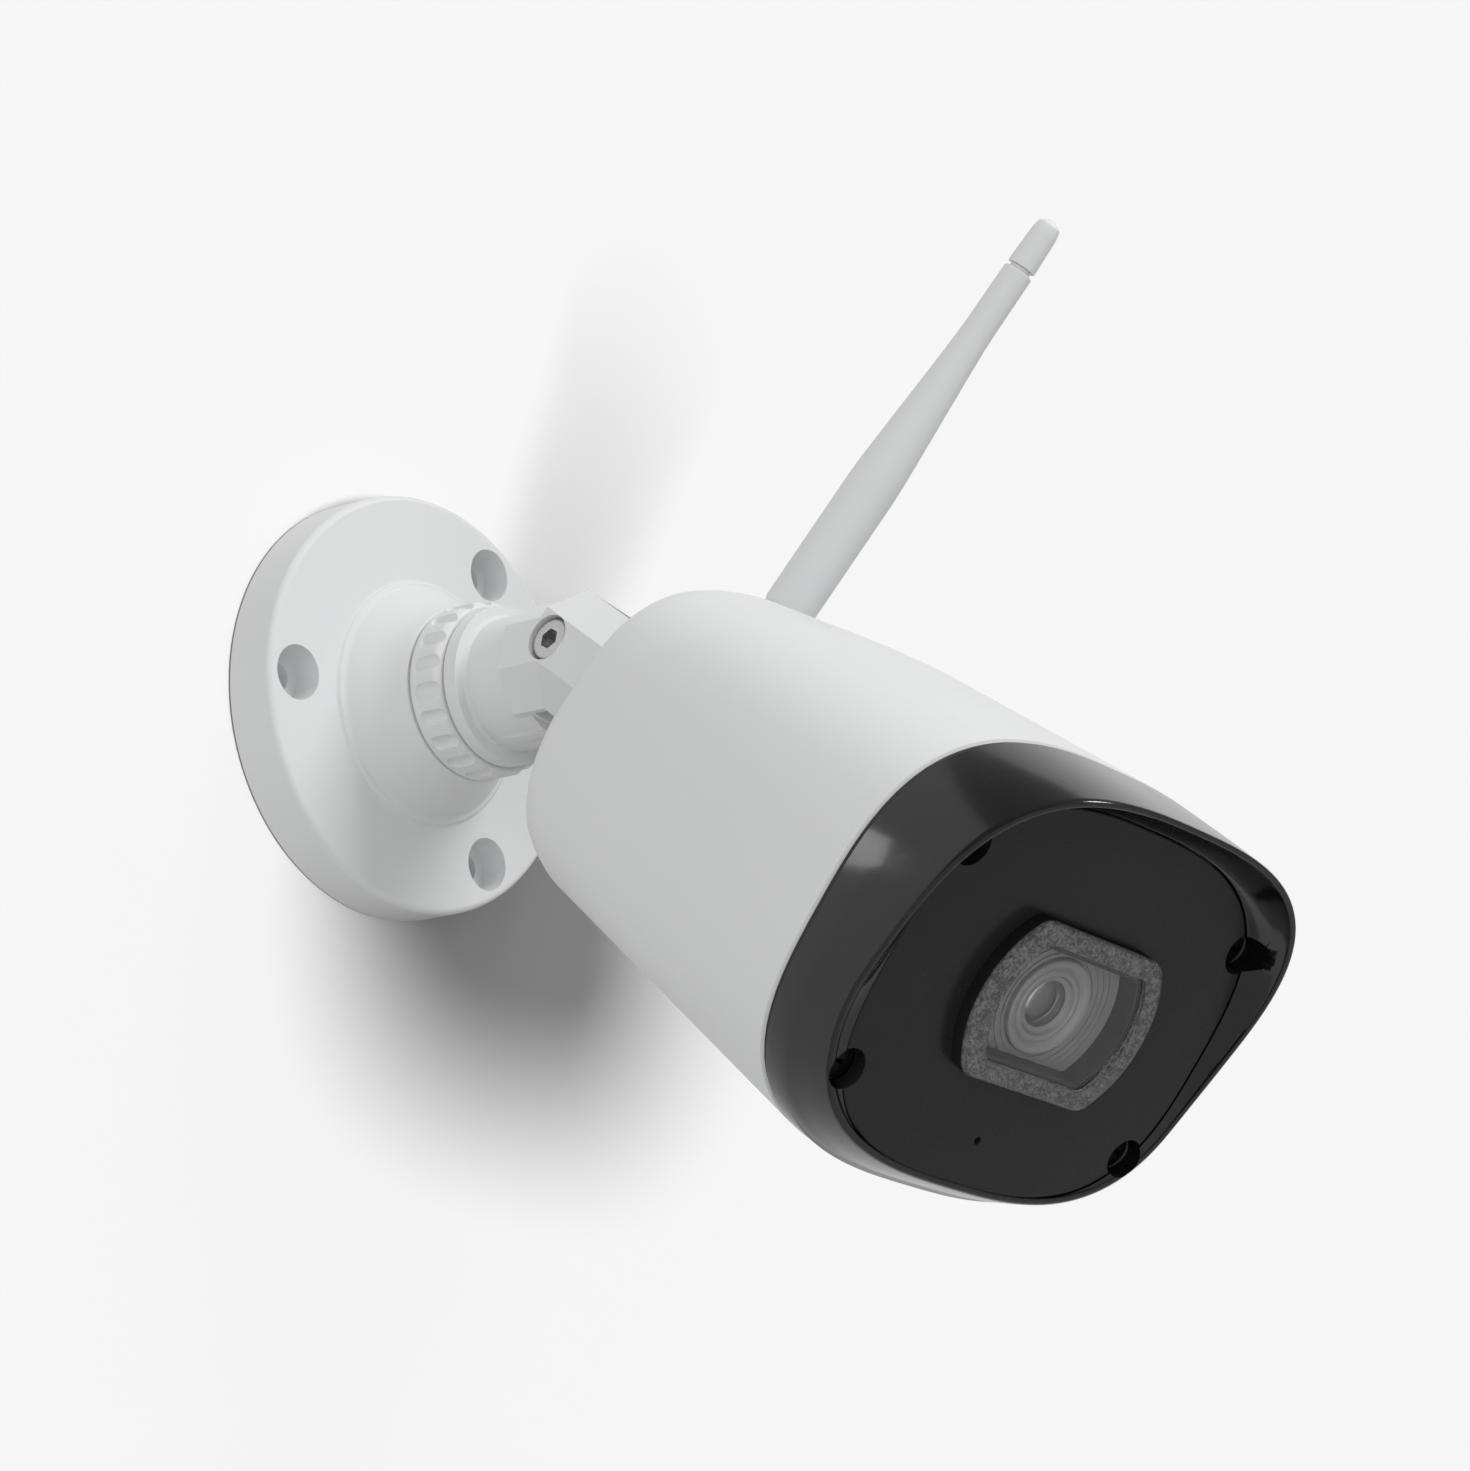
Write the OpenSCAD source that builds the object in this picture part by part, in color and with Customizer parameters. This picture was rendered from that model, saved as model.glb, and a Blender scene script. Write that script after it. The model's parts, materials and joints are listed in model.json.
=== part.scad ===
// Wi-Fi bullet security camera on a three-axis wall bracket.
// Millimetres, +Z up. The wall is the plane Y = 0, the camera stands on its -Y side.
// The origin is the centre of the back face of the wall base.

/* [Pose] */
// Turn of the elbow about the wall axis, degrees
pan_deg = 5.7; // [-180:0.1:180]
// Nose-down angle of the camera body, degrees
tilt_deg = 35.3; // [0:0.1:80]
// Turn of the body about its own long axis, degrees
roll_deg = -7; // [-90:0.1:90]
// Lean of the antenna about its socket, degrees
whip_swing = 7.3; // [-80:0.1:80]

/* [Wall base] */
// Diameter of the wall base
base_d = 70; // [50:0.5:100]
// Height of the base rim off the wall
base_t = 9.2; // [5:0.1:15]
// Diameter of the foot of the raised neck
neck_foot_d = 39; // [30:0.5:46]
// Pitch circle of the three wall holes
hole_pcd = 57.5; // [48:0.5:62]
// Diameter of each wall hole
hole_d = 4.8; // [3:0.1:6]
// Diameter of the screw head recess
cbore_d = 8.9; // [6:0.1:11]
// Angle of the first wall hole from +X
base_turn = 67.8; // [0:0.1:120]

/* [Lock ring] */
// Outer diameter of the lock ring
ring_d = 28.6; // [26:0.1:34]
// Distance of the ring's front face from the wall
ring_front = 25.4; // [22:0.1:30]
// Length of the ring
ring_l = 6.1; // [4:0.1:9]
// Number of grip notches
ring_notches = 20; // [8:1:36]

/* [Elbow and arm] */
// Distance of the tilt hinge from the wall
hinge_h = 46.2; // [40:0.1:60]
// Diameter of the elbow flange
flange_d = 26; // [22:0.1:30]
// Diameter of the elbow trunk
trunk_d = 21.6; // [16:0.1:24]
// Width across the two cheeks
cheek_w = 23; // [18:0.1:28]
// Height of the cheek block
cheek_h = 19; // [14:0.1:22]
// Bend between the trunk and the cheek block, degrees
elbow_bend = 35.3; // [0:0.1:60]
// Width of the arm tongue
tongue_w = 9.8; // [6:0.1:12]
// Diameter of the spigot the body turns on
stub_d = 15.9; // [10:0.1:18]

/* [Body] */
// Distance from the tilt hinge to the faceplate
face_off = 115.6; // [100:0.1:140]
// Half width of the hood lip
sec_w = 35.8; // [25:0.1:50]
// Half height of the hood lip
sec_h = 29.8; // [20:0.1:45]
// Squareness of the section, 2 is an ellipse
sec_n = 2.9; // [2:0.05:6]
// Section scale where the hood meets the shell
hood_scale = 1.04; // [0.95:0.005:1.15]
// Section scale at the rear rim
rear_scale = 0.922; // [0.8:0.005:1.1]
// Depth of the rear edge of the hood behind the faceplate
hood_back = 10.2; // [6:0.1:20]
// Depth of the rear rim behind the faceplate
shell_back = 79; // [60:0.5:110]
// Depth of the flat rear face behind the faceplate
rear_face = 86.5; // [70:0.5:115]

/* [Hood] */
// Reach of the lip in front of the faceplate at mid height
lip_reach = 1.3; // [0:0.1:15]
// Slope of the lip, degrees
lip_slope = 10.5; // [0:0.1:25]
// Reach of the lip along its lower part, where it is flat
lip_flat = 0.15; // [0:0.05:3]
// Faceplate scale against the lip section
glass_scale = 0.905; // [0.7:0.005:0.95]
// Sideways place of the hood screws
well_x = 28.9; // [20:0.1:32]
// Upright place of the hood screws
well_z = 16.3; // [8:0.1:24]
// Radius of the hood screw wells
well_r = 2.8; // [2:0.1:4]

/* [Lens] */
// Radius of the bowed sides of the lens frame
frame_r = 16.4; // [12:0.1:22]
// Half height of the lens frame
frame_h = 11.5; // [8:0.1:16]
// Rise of the lens frame over the faceplate
frame_rise = 3; // [0.5:0.1:6]
// Diameter of the lens barrel
barrel_d = 14; // [8:0.1:16]

/* [Antenna] */
// Sideways place of the antenna socket
ant_x = 8.2; // [0:0.1:20]
// Height of the antenna socket over the body axis
ant_z = 17; // [10:0.1:22]
// Depth of the whip behind the faceplate
ant_y = 92.4; // [88:0.1:100]
// Length of the whip from its hinge to the end of the tip
whip_l = 78; // [50:1:180]
// Diameter of the thick part of the whip
whip_d = 8.2; // [6:0.1:12]
// Diameter of the thin part of the whip
whip_tip_d = 4.9; // [3:0.1:8]

/* [Hidden] */
sides = 96;
neck_r = 11.5;
ring_bore = neck_r + 0.05;
spigot_r = 9;
boss_r = 12.5;
boss_back = 97;
cav_back = 83;

// ---------- places ----------

module at_pan() {
    rotate([0, pan_deg, 0])
        children();
}

module at_tilt() {
    at_pan()
        translate([0, -hinge_h, 0])
            rotate([tilt_deg, 0, 0])
                children();
}

// body frame: origin on the faceplate, Y runs back to the hinge
module at_face() {
    at_tilt()
        rotate([0, roll_deg, 0])
            translate([0, -face_off, 0])
                children();
}

module at_whip() {
    at_face()
        translate([ant_x, ant_y, ant_z])
            rotate([0, whip_swing, 0])
                children();
}

// ---------- helpers ----------

// cylinder along +Y from y0 to y1
module rod(y0, y1, r, r2 = -1) {
    translate([0, y0, 0])
        rotate([-90, 0, 0])
            cylinder(h = y1 - y0, r1 = r, r2 = r2 < 0 ? r : r2, $fn = 64);
}

// cylinder along X, centred on x0 to x1
module xrod(x0, x1, r) {
    translate([x0, 0, 0])
        rotate([0, 90, 0])
            cylinder(h = x1 - x0, r = r, $fn = 64);
}

// cylinder along +Z
module zrod(z0, z1, r, r2 = -1) {
    translate([0, 0, z0])
        cylinder(h = z1 - z0, r1 = r, r2 = r2 < 0 ? r : r2, $fn = 64);
}

// hexagon bar along +Y, given across the flats
module hexbar(y0, y1, flats) {
    translate([0, y0, 0])
        rotate([-90, 0, 0])
            cylinder(h = y1 - y0, d = flats / cos(30), $fn = 6);
}

function sec_r(a) = pow(pow(abs(cos(a)) / sec_w, sec_n) + pow(abs(sin(a)) / sec_h, sec_n), -1 / sec_n);

// rounded section of the body, drawn as X across and Y upright
module section(s) {
    polygon([for (i = [0:sides - 1]) let (a = 360 * i / sides) [s * sec_r(a) * cos(a), s * sec_r(a) * sin(a)]]);
}

// straight or tapered length of the body between two depths
module length(y0, y1, s0, s1) {
    translate([0, y0, 0])
        rotate([-90, 0, 0])
            linear_extrude(height = y1 - y0, scale = s1 / s0)
                section(s0);
}

// thin slice of the body at one depth
module slice(y, s) {
    length(y, y + 0.02, s, s);
}

module wells(y0, y1, r) {
    for (x = [-well_x, well_x])
        for (z = [-well_z, well_z])
            translate([x, 0, z])
                rod(y0, y1, r);
}

// slanted cutter that trims the front of the hood
module lip_cut() {
    intersection() {
        translate([0, -lip_reach, 0])
            rotate([lip_slope, 0, 0])
                translate([-60, -60, -60])
                    cube([120, 60, 120]);
        translate([-50, -50 - lip_flat, -50])
            cube([100, 50, 100]);
    }
}

module dee(y0, y1, r, h) {
    intersection() {
        rod(y0, y1, r);
        translate([-r - 1, y0 - 1, -h])
            cube([2 * r + 2, y1 - y0 + 2, 2 * h]);
    }
}

// ---------- wall base ----------

module wall_base() {
    color("white")
        difference() {
            union() {
                rod(-base_t, 0, base_d / 2 - 0.15, base_d / 2);
                rod(-12, -base_t + 1, 17.2, neck_foot_d / 2 + 0.2);
                rod(-15.5, -11, 14.8, 17.6);
                rod(-18.9, -15, 13.8, 14.9);
                rod(-24.6, -18, neck_r);
            }
            rod(-30, 5, spigot_r + 0.05);
            rod(-1, 1, 25.4);
            rod(-12.6, 5, 10.4);
            for (i = [0:2])
                rotate([0, -base_turn - 120 * i, 0])
                    translate([hole_pcd / 2, 0, 0]) {
                        rod(-20, 5, hole_d / 2);
                        rod(-20, -4.2, cbore_d / 2);
                    }
        }
}

module base_pad() {
    color("dimgray")
        difference() {
            rod(-1, 0, 25.2);
            rod(-2, 1, 12);
        }
}

module lock_ring() {
    color("white")
        difference() {
            union() {
                rod(-ring_front + 0.8, -ring_front + ring_l, ring_d / 2);
                rod(-ring_front, -ring_front + 0.81, ring_d / 2 - 0.9, ring_d / 2);
            }
            rod(-30, -10, ring_bore);
            for (i = [0:ring_notches - 1])
                rotate([0, 360 * i / ring_notches, 0])
                    translate([ring_d / 2 + 0.5, 0, 0])
                        rod(-ring_front - 1, -ring_front + ring_l - 1.4, 1.5);
        }
}

module neck_washer() {
    color("gainsboro")
        difference() {
            rod(-25.1, -24.6, neck_r - 0.3);
            rod(-26, -24, spigot_r + 0.06);
        }
}

// ---------- elbow ----------

// eight-sided bar along -Y from the hinge, width on X and height on Z
module bar8(y0, y1, w, h, cx, cz) {
    translate([0, y1, 0])
        rotate([90, 0, 0])
            linear_extrude(height = y1 - y0)
                polygon([[-w / 2, -h / 2 + cz], [-w / 2 + cx, -h / 2], [w / 2 - cx, -h / 2], [w / 2, -h / 2 + cz],
                         [w / 2, h / 2 - cz], [w / 2 - cx, h / 2], [-w / 2 + cx, h / 2], [-w / 2, h / 2 - cz]]);
}

module elbow() {
    color("white")
        at_pan()
            difference() {
                union() {
                    rod(-25.5, -12.4, spigot_r);
                    rod(-12.5, -11.6, spigot_r - 0.95);
                    rod(-11.7, -10.8, spigot_r);
                    rod(-28.2, -25.7, flange_d / 2);
                    rod(-28.9, -28, flange_d / 2 - 2.4, flange_d / 2 - 1.4);
                    rod(-39.5, -28.5, trunk_d / 2);
                    rod(-25.8, -25.4, spigot_r + 1.2);
                    translate([0, -hinge_h, 0]) {
                        bar8(0, 9.6, cheek_w, cheek_h, 5, 5.65);
                        intersection() {
                            rotate([elbow_bend, 0, 0])
                                bar8(-14, 4, cheek_w, cheek_h, 5, 5.65);
                            xrod(-20, 20, 13.4);
                        }
                    }
                }
                translate([0, -hinge_h, 0]) {
                    xrod(-tongue_w / 2 - 0.7, tongue_w / 2 + 0.7, 9.9);
                    rotate([elbow_bend, 0, 0])
                        translate([-tongue_w / 2 - 0.7, -20, -20])
                            cube([tongue_w + 1.4, 17.6, 40]);
                    translate([-tongue_w / 2 - 0.7, -2, -20])
                        cube([tongue_w + 1.4, 7.8, 13.6]);
                    xrod(-20, 20, 2.05);
                    xrod(-20, -cheek_w / 2 + 4.4, 3.8);
                    translate([cheek_w / 2 - 3.4, 0, 0])
                        rotate([0, 90, 0])
                            cylinder(h = 8, d = 7.2 / cos(30), $fn = 6);
                }
            }
}

module pan_clip() {
    color("silver")
        at_pan()
            difference() {
                rod(-12.3, -11.7, 10);
                rod(-14, -10, spigot_r - 0.9);
                rotate([0, 30, 0])
                    translate([0, -14, -2.5])
                        cube([20, 5, 5]);
            }
}

module tilt_screw() {
    color("silver")
        at_pan()
            translate([0, -hinge_h, 0])
                difference() {
                    union() {
                        xrod(-cheek_w / 2 + 0.5, -cheek_w / 2 + 4.4, 3.5);
                        xrod(-cheek_w / 2 + 4.3, cheek_w / 2 - 0.6, 2);
                    }
                    translate([-cheek_w / 2 - 1, 0, 0])
                        rotate([0, 90, 0])
                            cylinder(h = 3.6, d = 3 / cos(30), $fn = 6);
                }
}

module tilt_nut() {
    color("silver")
        at_pan()
            translate([cheek_w / 2 - 3.4, -hinge_h, 0])
                rotate([0, 90, 0])
                    difference() {
                        cylinder(h = 3, d = 7 / cos(30), $fn = 6);
                        translate([0, 0, -1])
                            cylinder(h = 5, r = 2.03, $fn = 48);
                    }
}

module tilt_washers() {
    color("gainsboro")
        at_tilt()
            for (x = [-tongue_w / 2 - 0.4, tongue_w / 2])
                difference() {
                    xrod(x, x + 0.4, 6);
                    xrod(x - 1, x + 1, 2.1);
                }
}

// ---------- arm ----------

module tilt_arm() {
    color("white")
        at_tilt()
            difference() {
                union() {
                    xrod(-tongue_w / 2, tongue_w / 2, 9);
                    translate([-tongue_w / 2, -15.5, -6.8])
                        cube([tongue_w, 15.5, 13.6]);
                    rod(-18, -14.6, 11, 9.4);
                    rod(-24.4, -17.9, stub_d / 2);
                    rod(-26.5, -24.3, 6.55);
                    rod(-32.85, -26.4, stub_d / 2);
                    rod(-33.9, -32.8, 6.8);
                    rod(-35.6, -33.8, stub_d / 2 - 0.1);
                }
                xrod(-10, 10, 2.06);
                rod(-40, -8, 3.5);
            }
}

module roll_clip() {
    color("silver")
        at_tilt()
            difference() {
                rod(-33.7, -32.9, 9.4);
                rod(-35, -32, 6.82);
                translate([-3, -36, 0])
                    cube([6, 6, 20]);
            }
}

module roll_seal() {
    color("black")
        at_tilt()
            translate([0, -25.4, 0])
                rotate([90, 0, 0])
                    rotate_extrude($fn = 64)
                        translate([7.22, 0])
                            circle(r = 0.66, $fn = 24);
}

module roll_lock_screw() {
    color("silver")
        at_face()
            translate([0, 91.5, 0])
                difference() {
                    zrod(-boss_r + 0.6, -stub_d / 2 - 0.4, 1.5);
                    translate([0, 0, -boss_r])
                        cylinder(h = 2.6, d = 1.5 / cos(30), $fn = 6);
                }
}

// ---------- body ----------

module shell_bosses() {
    for (x = [-well_x, well_x])
        for (z = [-well_z, well_z])
            translate([x, 0, z]) {
                rod(6, 17, 3.3);
                rod(16.9, 22, 3.3, 1.2);
            }
    for (x = [-16.5, 16.5])
        for (y = [38, 70])
            translate([x, y, 0])
                zrod(-26, -14, 2.6);
}

module shell_holes() {
    for (x = [-well_x, well_x])
        for (z = [-well_z, well_z])
            translate([x, 0, z])
                rod(0, 14, 1.25);
    for (x = [-16.5, 16.5])
        for (y = [38, 70])
            translate([x, y, 0])
                zrod(-21, -13, 1);
    rod(80, 100, stub_d / 2 + 0.05);
    translate([0, 91.5, 0])
        zrod(-20, 0, 1.55);
    translate([ant_x, 0, ant_z])
        rod(80, 90, 3.2);
    translate([-14, 0, -12])
        rod(80, 90, 3.6);
    translate([-11.5, 47.5, -40])
        cube([23, 21, 30]);
    for (x = [-13, 13])
        translate([x, 58, 0])
            zrod(-40, -20, 1);
    translate([-15.2, 44.2, -40])
        cube([30.4, 27.6, 13.8]);
    for (i = [-3:3])
        translate([3.6 * i, 31, 0])
            zrod(-40, -20, 0.9);
}

module body_shell() {
    color("white")
        at_face()
            difference() {
                union() {
                    difference() {
                        union() {
                            hull() {
                                slice(hood_back + 0.6, hood_scale);
                                slice(shell_back, rear_scale);
                                slice(81, 0.868);
                                slice(83.5, 0.78);
                                slice(rear_face - 0.02, 0.66);
                            }
                            length(6.2, hood_back + 2, hood_scale - 0.055, hood_scale - 0.055);
                        }
                        hull() {
                            slice(5, hood_scale - 0.125);
                            slice(76, rear_scale - 0.072);
                            slice(cav_back - 0.02, 0.7);
                        }
                    }
                    rod(cav_back + 0.1, boss_back, boss_r + 1, boss_r);
                    translate([ant_x, 0, ant_z])
                        rod(cav_back + 0.1, rear_face + 0.5, 5.4);
                    shell_bosses();
                }
                shell_holes();
            }
}

module front_hood() {
    color("black")
        at_face()
            difference() {
                hull() {
                    slice(hood_back - 0.02, hood_scale);
                    slice(5.5, hood_scale - 0.006);
                    translate([0, 0, 2.6])
                        scale([1.038, 1, 1])
                            slice(-9, 0.92);
                }
                lip_cut();
                length(-10, -1.19, 0.972, 0.968);
                length(-1.2, 0.02, 0.968, glass_scale - 0.001);
                length(0, 2.6, glass_scale, glass_scale);
                length(2.5, 6, 0.79, 0.79);
                length(5.9, hood_back + 1, hood_scale - 0.045, hood_scale - 0.045);
                wells(-15, 2.5, well_r);
                wells(-15, 12, 1.35);
                wells(1, 4.6, 2.45);
            }
}

module hood_seal() {
    color("dimgray")
        at_face()
            difference() {
                length(hood_back + 0.05, hood_back + 0.55, hood_scale - 0.012, hood_scale - 0.012);
                length(hood_back - 1, hood_back + 2, hood_scale - 0.053, hood_scale - 0.053);
            }
}

module hood_screws() {
    color("dimgray")
        at_face()
            for (x = [-well_x, well_x])
                for (z = [-well_z, well_z])
                    translate([x, 0, z])
                        difference() {
                            union() {
                                rod(2.6, 4.6, 2.3);
                                rod(4.5, 12.5, 1.24);
                            }
                            translate([-1.6, 2, -0.3])
                                cube([3.2, 1.6, 0.6]);
                            translate([-0.3, 2, -1.6])
                                cube([0.6, 1.6, 3.2]);
                        }
}

module faceplate() {
    color("darkslategray")
        at_face()
            difference() {
                length(0.05, 2.4, glass_scale - 0.006, glass_scale - 0.006);
                wells(-1, 4, well_r + 0.15);
                dee(-1, 4, frame_r - 2.2, frame_h - 2.2);
                translate([0, 0, -20.1])
                    rod(-1, 4, 0.55);
            }
}

// ---------- lens group ----------

module lens_frame() {
    color("black")
        at_face()
            difference() {
                union() {
                    dee(-frame_rise + 0.6, 0, frame_r, frame_h);
                    dee(-frame_rise, -frame_rise + 0.61, frame_r - 0.5, frame_h - 0.5);
                    dee(-0.1, 3.4, frame_r - 2.3, frame_h - 2.3);
                }
                dee(-frame_rise - 1, -frame_rise + 1.6, frame_r - 1.4, frame_h - 1.4);
                dee(-frame_rise, 5, frame_r - 4, frame_h - 3.6);
            }
}

module lens_window() {
    color("lightcyan")
        at_face()
            dee(-frame_rise + 0.8, -frame_rise + 1.6, frame_r - 1.5, frame_h - 1.5);
}

module lens_baffle() {
    color("gray")
        at_face()
            difference() {
                dee(1.5, 2.9, frame_r - 4.1, frame_h - 3.7);
                rod(0, 4, barrel_d / 2 + 0.1);
            }
}

module lens_barrel() {
    color("black")
        at_face()
            difference() {
                union() {
                    rod(1.2, 8, barrel_d / 2);
                    rod(7.9, 20, 5.95);
                }
                rod(1, 2.6, 6, 4.4);
                rod(2.5, 5.2, 4);
                rod(5, 21, 3);
                rod(15, 21, 4.2);
            }
}

module front_element() {
    color("lightcyan")
        at_face()
            intersection() {
                rod(2, 5.1, 3.95);
                translate([0, 10.4, 0])
                    sphere(r = 7.8, $fn = 64);
            }
}

module rear_element() {
    color("lightcyan")
        at_face()
            intersection() {
                rod(15.2, 17.6, 4.15);
                translate([0, 9.3, 0])
                    sphere(r = 8, $fn = 64);
            }
}

module lens_holder() {
    color("black")
        at_face()
            difference() {
                union() {
                    rod(12, 21, 8);
                    translate([-10, 20.5, -10])
                        cube([20, 6.5, 20]);
                    for (x = [-11.5, 11.5])
                        translate([x, 0, 0])
                            rod(24.5, 27, 3);
                }
                rod(10, 20.6, 6);
                rod(20, 21, 4.4);
                translate([-8.5, 20.9, -8.5])
                    cube([17, 7, 17]);
                for (x = [-11.5, 11.5])
                    translate([x, 0, 0])
                        rod(23, 30, 1);
            }
}

module shutter_frame() {
    color("dimgray")
        at_face()
            difference() {
                translate([-8.4, 21, -8.4])
                    cube([16.8, 0.8, 16.8]);
                rod(20, 23, 4);
            }
}

module night_filter() {
    color("lightpink")
        at_face()
            translate([-3.6, 22.1, -3.4])
                cube([7.2, 0.6, 6.8]);
}

module image_sensor() {
    color("darkslategray")
        at_face()
            difference() {
                translate([-4, 25.2, -3.6])
                    cube([8, 1.8, 7.2]);
                translate([-3, 25, -2.4])
                    cube([6, 0.5, 4.8]);
            }
}

module sensor_board() {
    color("darkgreen")
        at_face()
            difference() {
                translate([-19, 27, -17])
                    cube([38, 1.6, 34]);
                for (x = [-11.5, 11.5])
                    translate([x, 0, 0])
                        rod(25, 30, 1.1);
                for (x = [-16, 16])
                    for (z = [-14, 14])
                        translate([x, 0, z])
                            rod(25, 30, 1.15);
            }
}

module led_board() {
    color("darkgreen")
        at_face()
            difference() {
                length(5.95, 7.35, 0.86, 0.86);
                rod(4, 8, 13);
                wells(4, 8, 4.4);
                translate([0, 0, -20.1])
                    rod(4, 8, 3.1);
            }
}

module night_leds() {
    color("ivory")
        at_face()
            for (x = [-20.5, 20.5])
                for (z = [-9, 0, 9])
                    translate([x, 0, z]) {
                        translate([-1.75, 4.95, -1.75])
                            cube([3.5, 1, 3.5]);
                        rod(3.75, 5.05, 1.1, 1.5);
                    }
}

module light_sensor() {
    color("ivory")
        at_face()
            translate([0, 0, 17.5])
                rod(3.9, 5.95, 1.5);
}

module microphone() {
    color("silver")
        at_face()
            translate([0, 0, -20.1])
                rod(5, 8.5, 2);
}

module mic_boot() {
    color("black")
        at_face()
            translate([0, 0, -20.1])
                difference() {
                    rod(2.5, 8, 2.9);
                    rod(2, 9, 0.8);
                    rod(5, 9, 2.02);
                }
}

// ---------- electronics ----------

module chassis() {
    color("gainsboro")
        at_face()
            difference() {
                union() {
                    translate([-19, 30.6, -14])
                        cube([38, 2, 31]);
                    for (x = [-16, 16])
                        for (z = [-14, 14])
                            translate([x, 0, z])
                                rod(28.6, 31, 2.6);
                    for (x = [-16.5, 16.5])
                        translate([x, 0, 0]) {
                            translate([-2.5, 30.6, -14])
                                cube([5, 44, 2]);
                            for (y = [44, 64])
                                translate([0, y, 0])
                                    zrod(-12.5, -9, 2.4);
                        }
                }
                for (x = [-16, 16])
                    for (z = [-14, 14])
                        translate([x, 0, z])
                            rod(27, 34, 1);
                for (x = [-16.5, 16.5]) {
                    for (y = [38, 70])
                        translate([x, y, 0])
                            zrod(-20, 0, 1.2);
                    for (y = [44, 64])
                        translate([x, y, 0])
                            zrod(-20, 0, 0.9);
                }
                translate([-8, 29, -5])
                    cube([16, 6, 12]);
            }
}

module chassis_screws() {
    color("silver")
        at_face()
            for (x = [-16.5, 16.5])
                for (y = [38, 70])
                    translate([x, y, 0]) {
                        zrod(-20, -11.9, 0.98);
                        zrod(-12, -10.6, 2);
                    }
}

module main_board() {
    color("darkgreen")
        at_face()
            difference() {
                translate([-21, 40.8, -9])
                    cube([42, 36, 1.6]);
                for (x = [-16.5, 16.5])
                    for (y = [44, 64])
                        translate([x, y, 0])
                            zrod(-12, -5, 1.1);
                for (x = [-16.5, 16.5])
                    translate([x, 70, 0])
                        zrod(-12, -5, 2.5);
            }
}

module board_screws() {
    color("silver")
        at_face() {
            for (x = [-16.5, 16.5])
                for (y = [44, 64])
                    translate([x, y, 0]) {
                        zrod(-12, -7.3, 0.88);
                        zrod(-7.4, -6.2, 1.8);
                    }
            for (x = [-16, 16])
                for (z = [-14, 14])
                    translate([x, 0, z]) {
                        rod(26.9, 32, 0.98);
                        rod(25.7, 27, 1.9);
                    }
            for (x = [-11.5, 11.5])
                translate([x, 0, 0]) {
                    rod(25.2, 28.7, 0.98);
                    rod(28.6, 29.7, 1.7);
                }
        }
}

module processor() {
    color("darkslategray")
        at_face()
            translate([-7, 52, -7.4])
                cube([14, 14, 1.4]);
}

module heat_sink() {
    color("silver")
        at_face()
            translate([-9, 50, -6])
                difference() {
                    cube([18, 18, 9]);
                    for (i = [0:3])
                        translate([2.1 + 4.1 * i, -1, 2])
                            cube([2, 20, 8]);
                }
}

module wifi_module() {
    color("silver")
        at_face() {
            translate([-20, 68, -7.4])
                cube([1, 6, 2]);
            translate([-13, 68.6, -7.4])
                cube([26, 7.6, 2.4]);
        }
}

module memory_slot() {
    color("silver")
        at_face()
            difference() {
                translate([-8, 50, -11.2])
                    cube([15, 14.5, 2.2]);
                translate([-6.5, 49, -10.6])
                    cube([12, 14, 1]);
            }
}

module speaker() {
    color("black")
        at_face()
            translate([0, 0, -22]) {
                translate([-12, 25, 0])
                    cube([24, 11, 4]);
                translate([-8, 27, -1])
                    cube([16, 7, 1.1]);
            }
}

module reset_switch() {
    color("black")
        at_face()
            difference() {
                translate([8.1, 53.5, -12.2])
                    cube([5, 5, 3.2]);
                translate([10.6, 56, 0])
                    zrod(-13, -10.6, 1.36);
            }
}

module reset_button() {
    color("gainsboro")
        at_face()
            translate([10.6, 56, 0])
                zrod(-13.6, -11.3, 1.3);
}

module service_cover() {
    color("white")
        at_face()
            difference() {
                translate([-15, 44.4, -28.4])
                    cube([30, 27.2, 1.6]);
                for (x = [-13, 13])
                    translate([x, 58, 0])
                        zrod(-40, -20, 1.2);
            }
}

module cover_seal() {
    color("black")
        at_face()
            difference() {
                translate([-15, 44.4, -26.8])
                    cube([30, 27.2, 0.6]);
                translate([-11.2, 47.8, -30])
                    cube([22.4, 20.4, 5]);
                for (x = [-13, 13])
                    translate([x, 58, 0])
                        zrod(-40, -20, 1.2);
            }
}

module cover_screws() {
    color("silver")
        at_face()
            for (x = [-13, 13])
                translate([x, 58, 0]) {
                    zrod(-28.4, -23.5, 0.95);
                    zrod(-29.6, -28.4, 1.8);
                }
}

module cable_gland() {
    color("dimgray")
        at_face()
            translate([-14, 0, -12])
                difference() {
                    union() {
                        rod(82, 91.5, 3.55);
                        rod(rear_face + 0.01, rear_face + 3, 5);
                        hexbar(79.5, 82.9, 9);
                    }
                    rod(70, 100, 2.6);
                }
}

// ---------- antenna ----------

module antenna_socket() {
    color("gold")
        at_face()
            translate([ant_x, 0, ant_z])
                difference() {
                    union() {
                        rod(79.8, rear_face + 0.9, 3.15);
                        hexbar(79.3, 81.4, 7.4);
                    }
                    rod(rear_face - 3, 100, 2.3);
                }
}

module antenna_swivel() {
    color("whitesmoke")
        at_whip()
            difference() {
                union() {
                    rod(-4.6, -3.2, 3.6);
                    rod(-8.3, -4.5, 2.25);
                    intersection() {
                        translate([-4.1, -3.6, -4.1])
                            cube([8.2, 6.8, 8.2]);
                        xrod(-5, 5, 4.6);
                    }
                }
                translate([-2, -3.2, -5])
                    cube([4, 9, 10]);
                xrod(-6, 6, 1.02);
            }
}

module antenna_pin() {
    color("silver")
        at_whip()
            xrod(-4, 4, 1);
}

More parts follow.
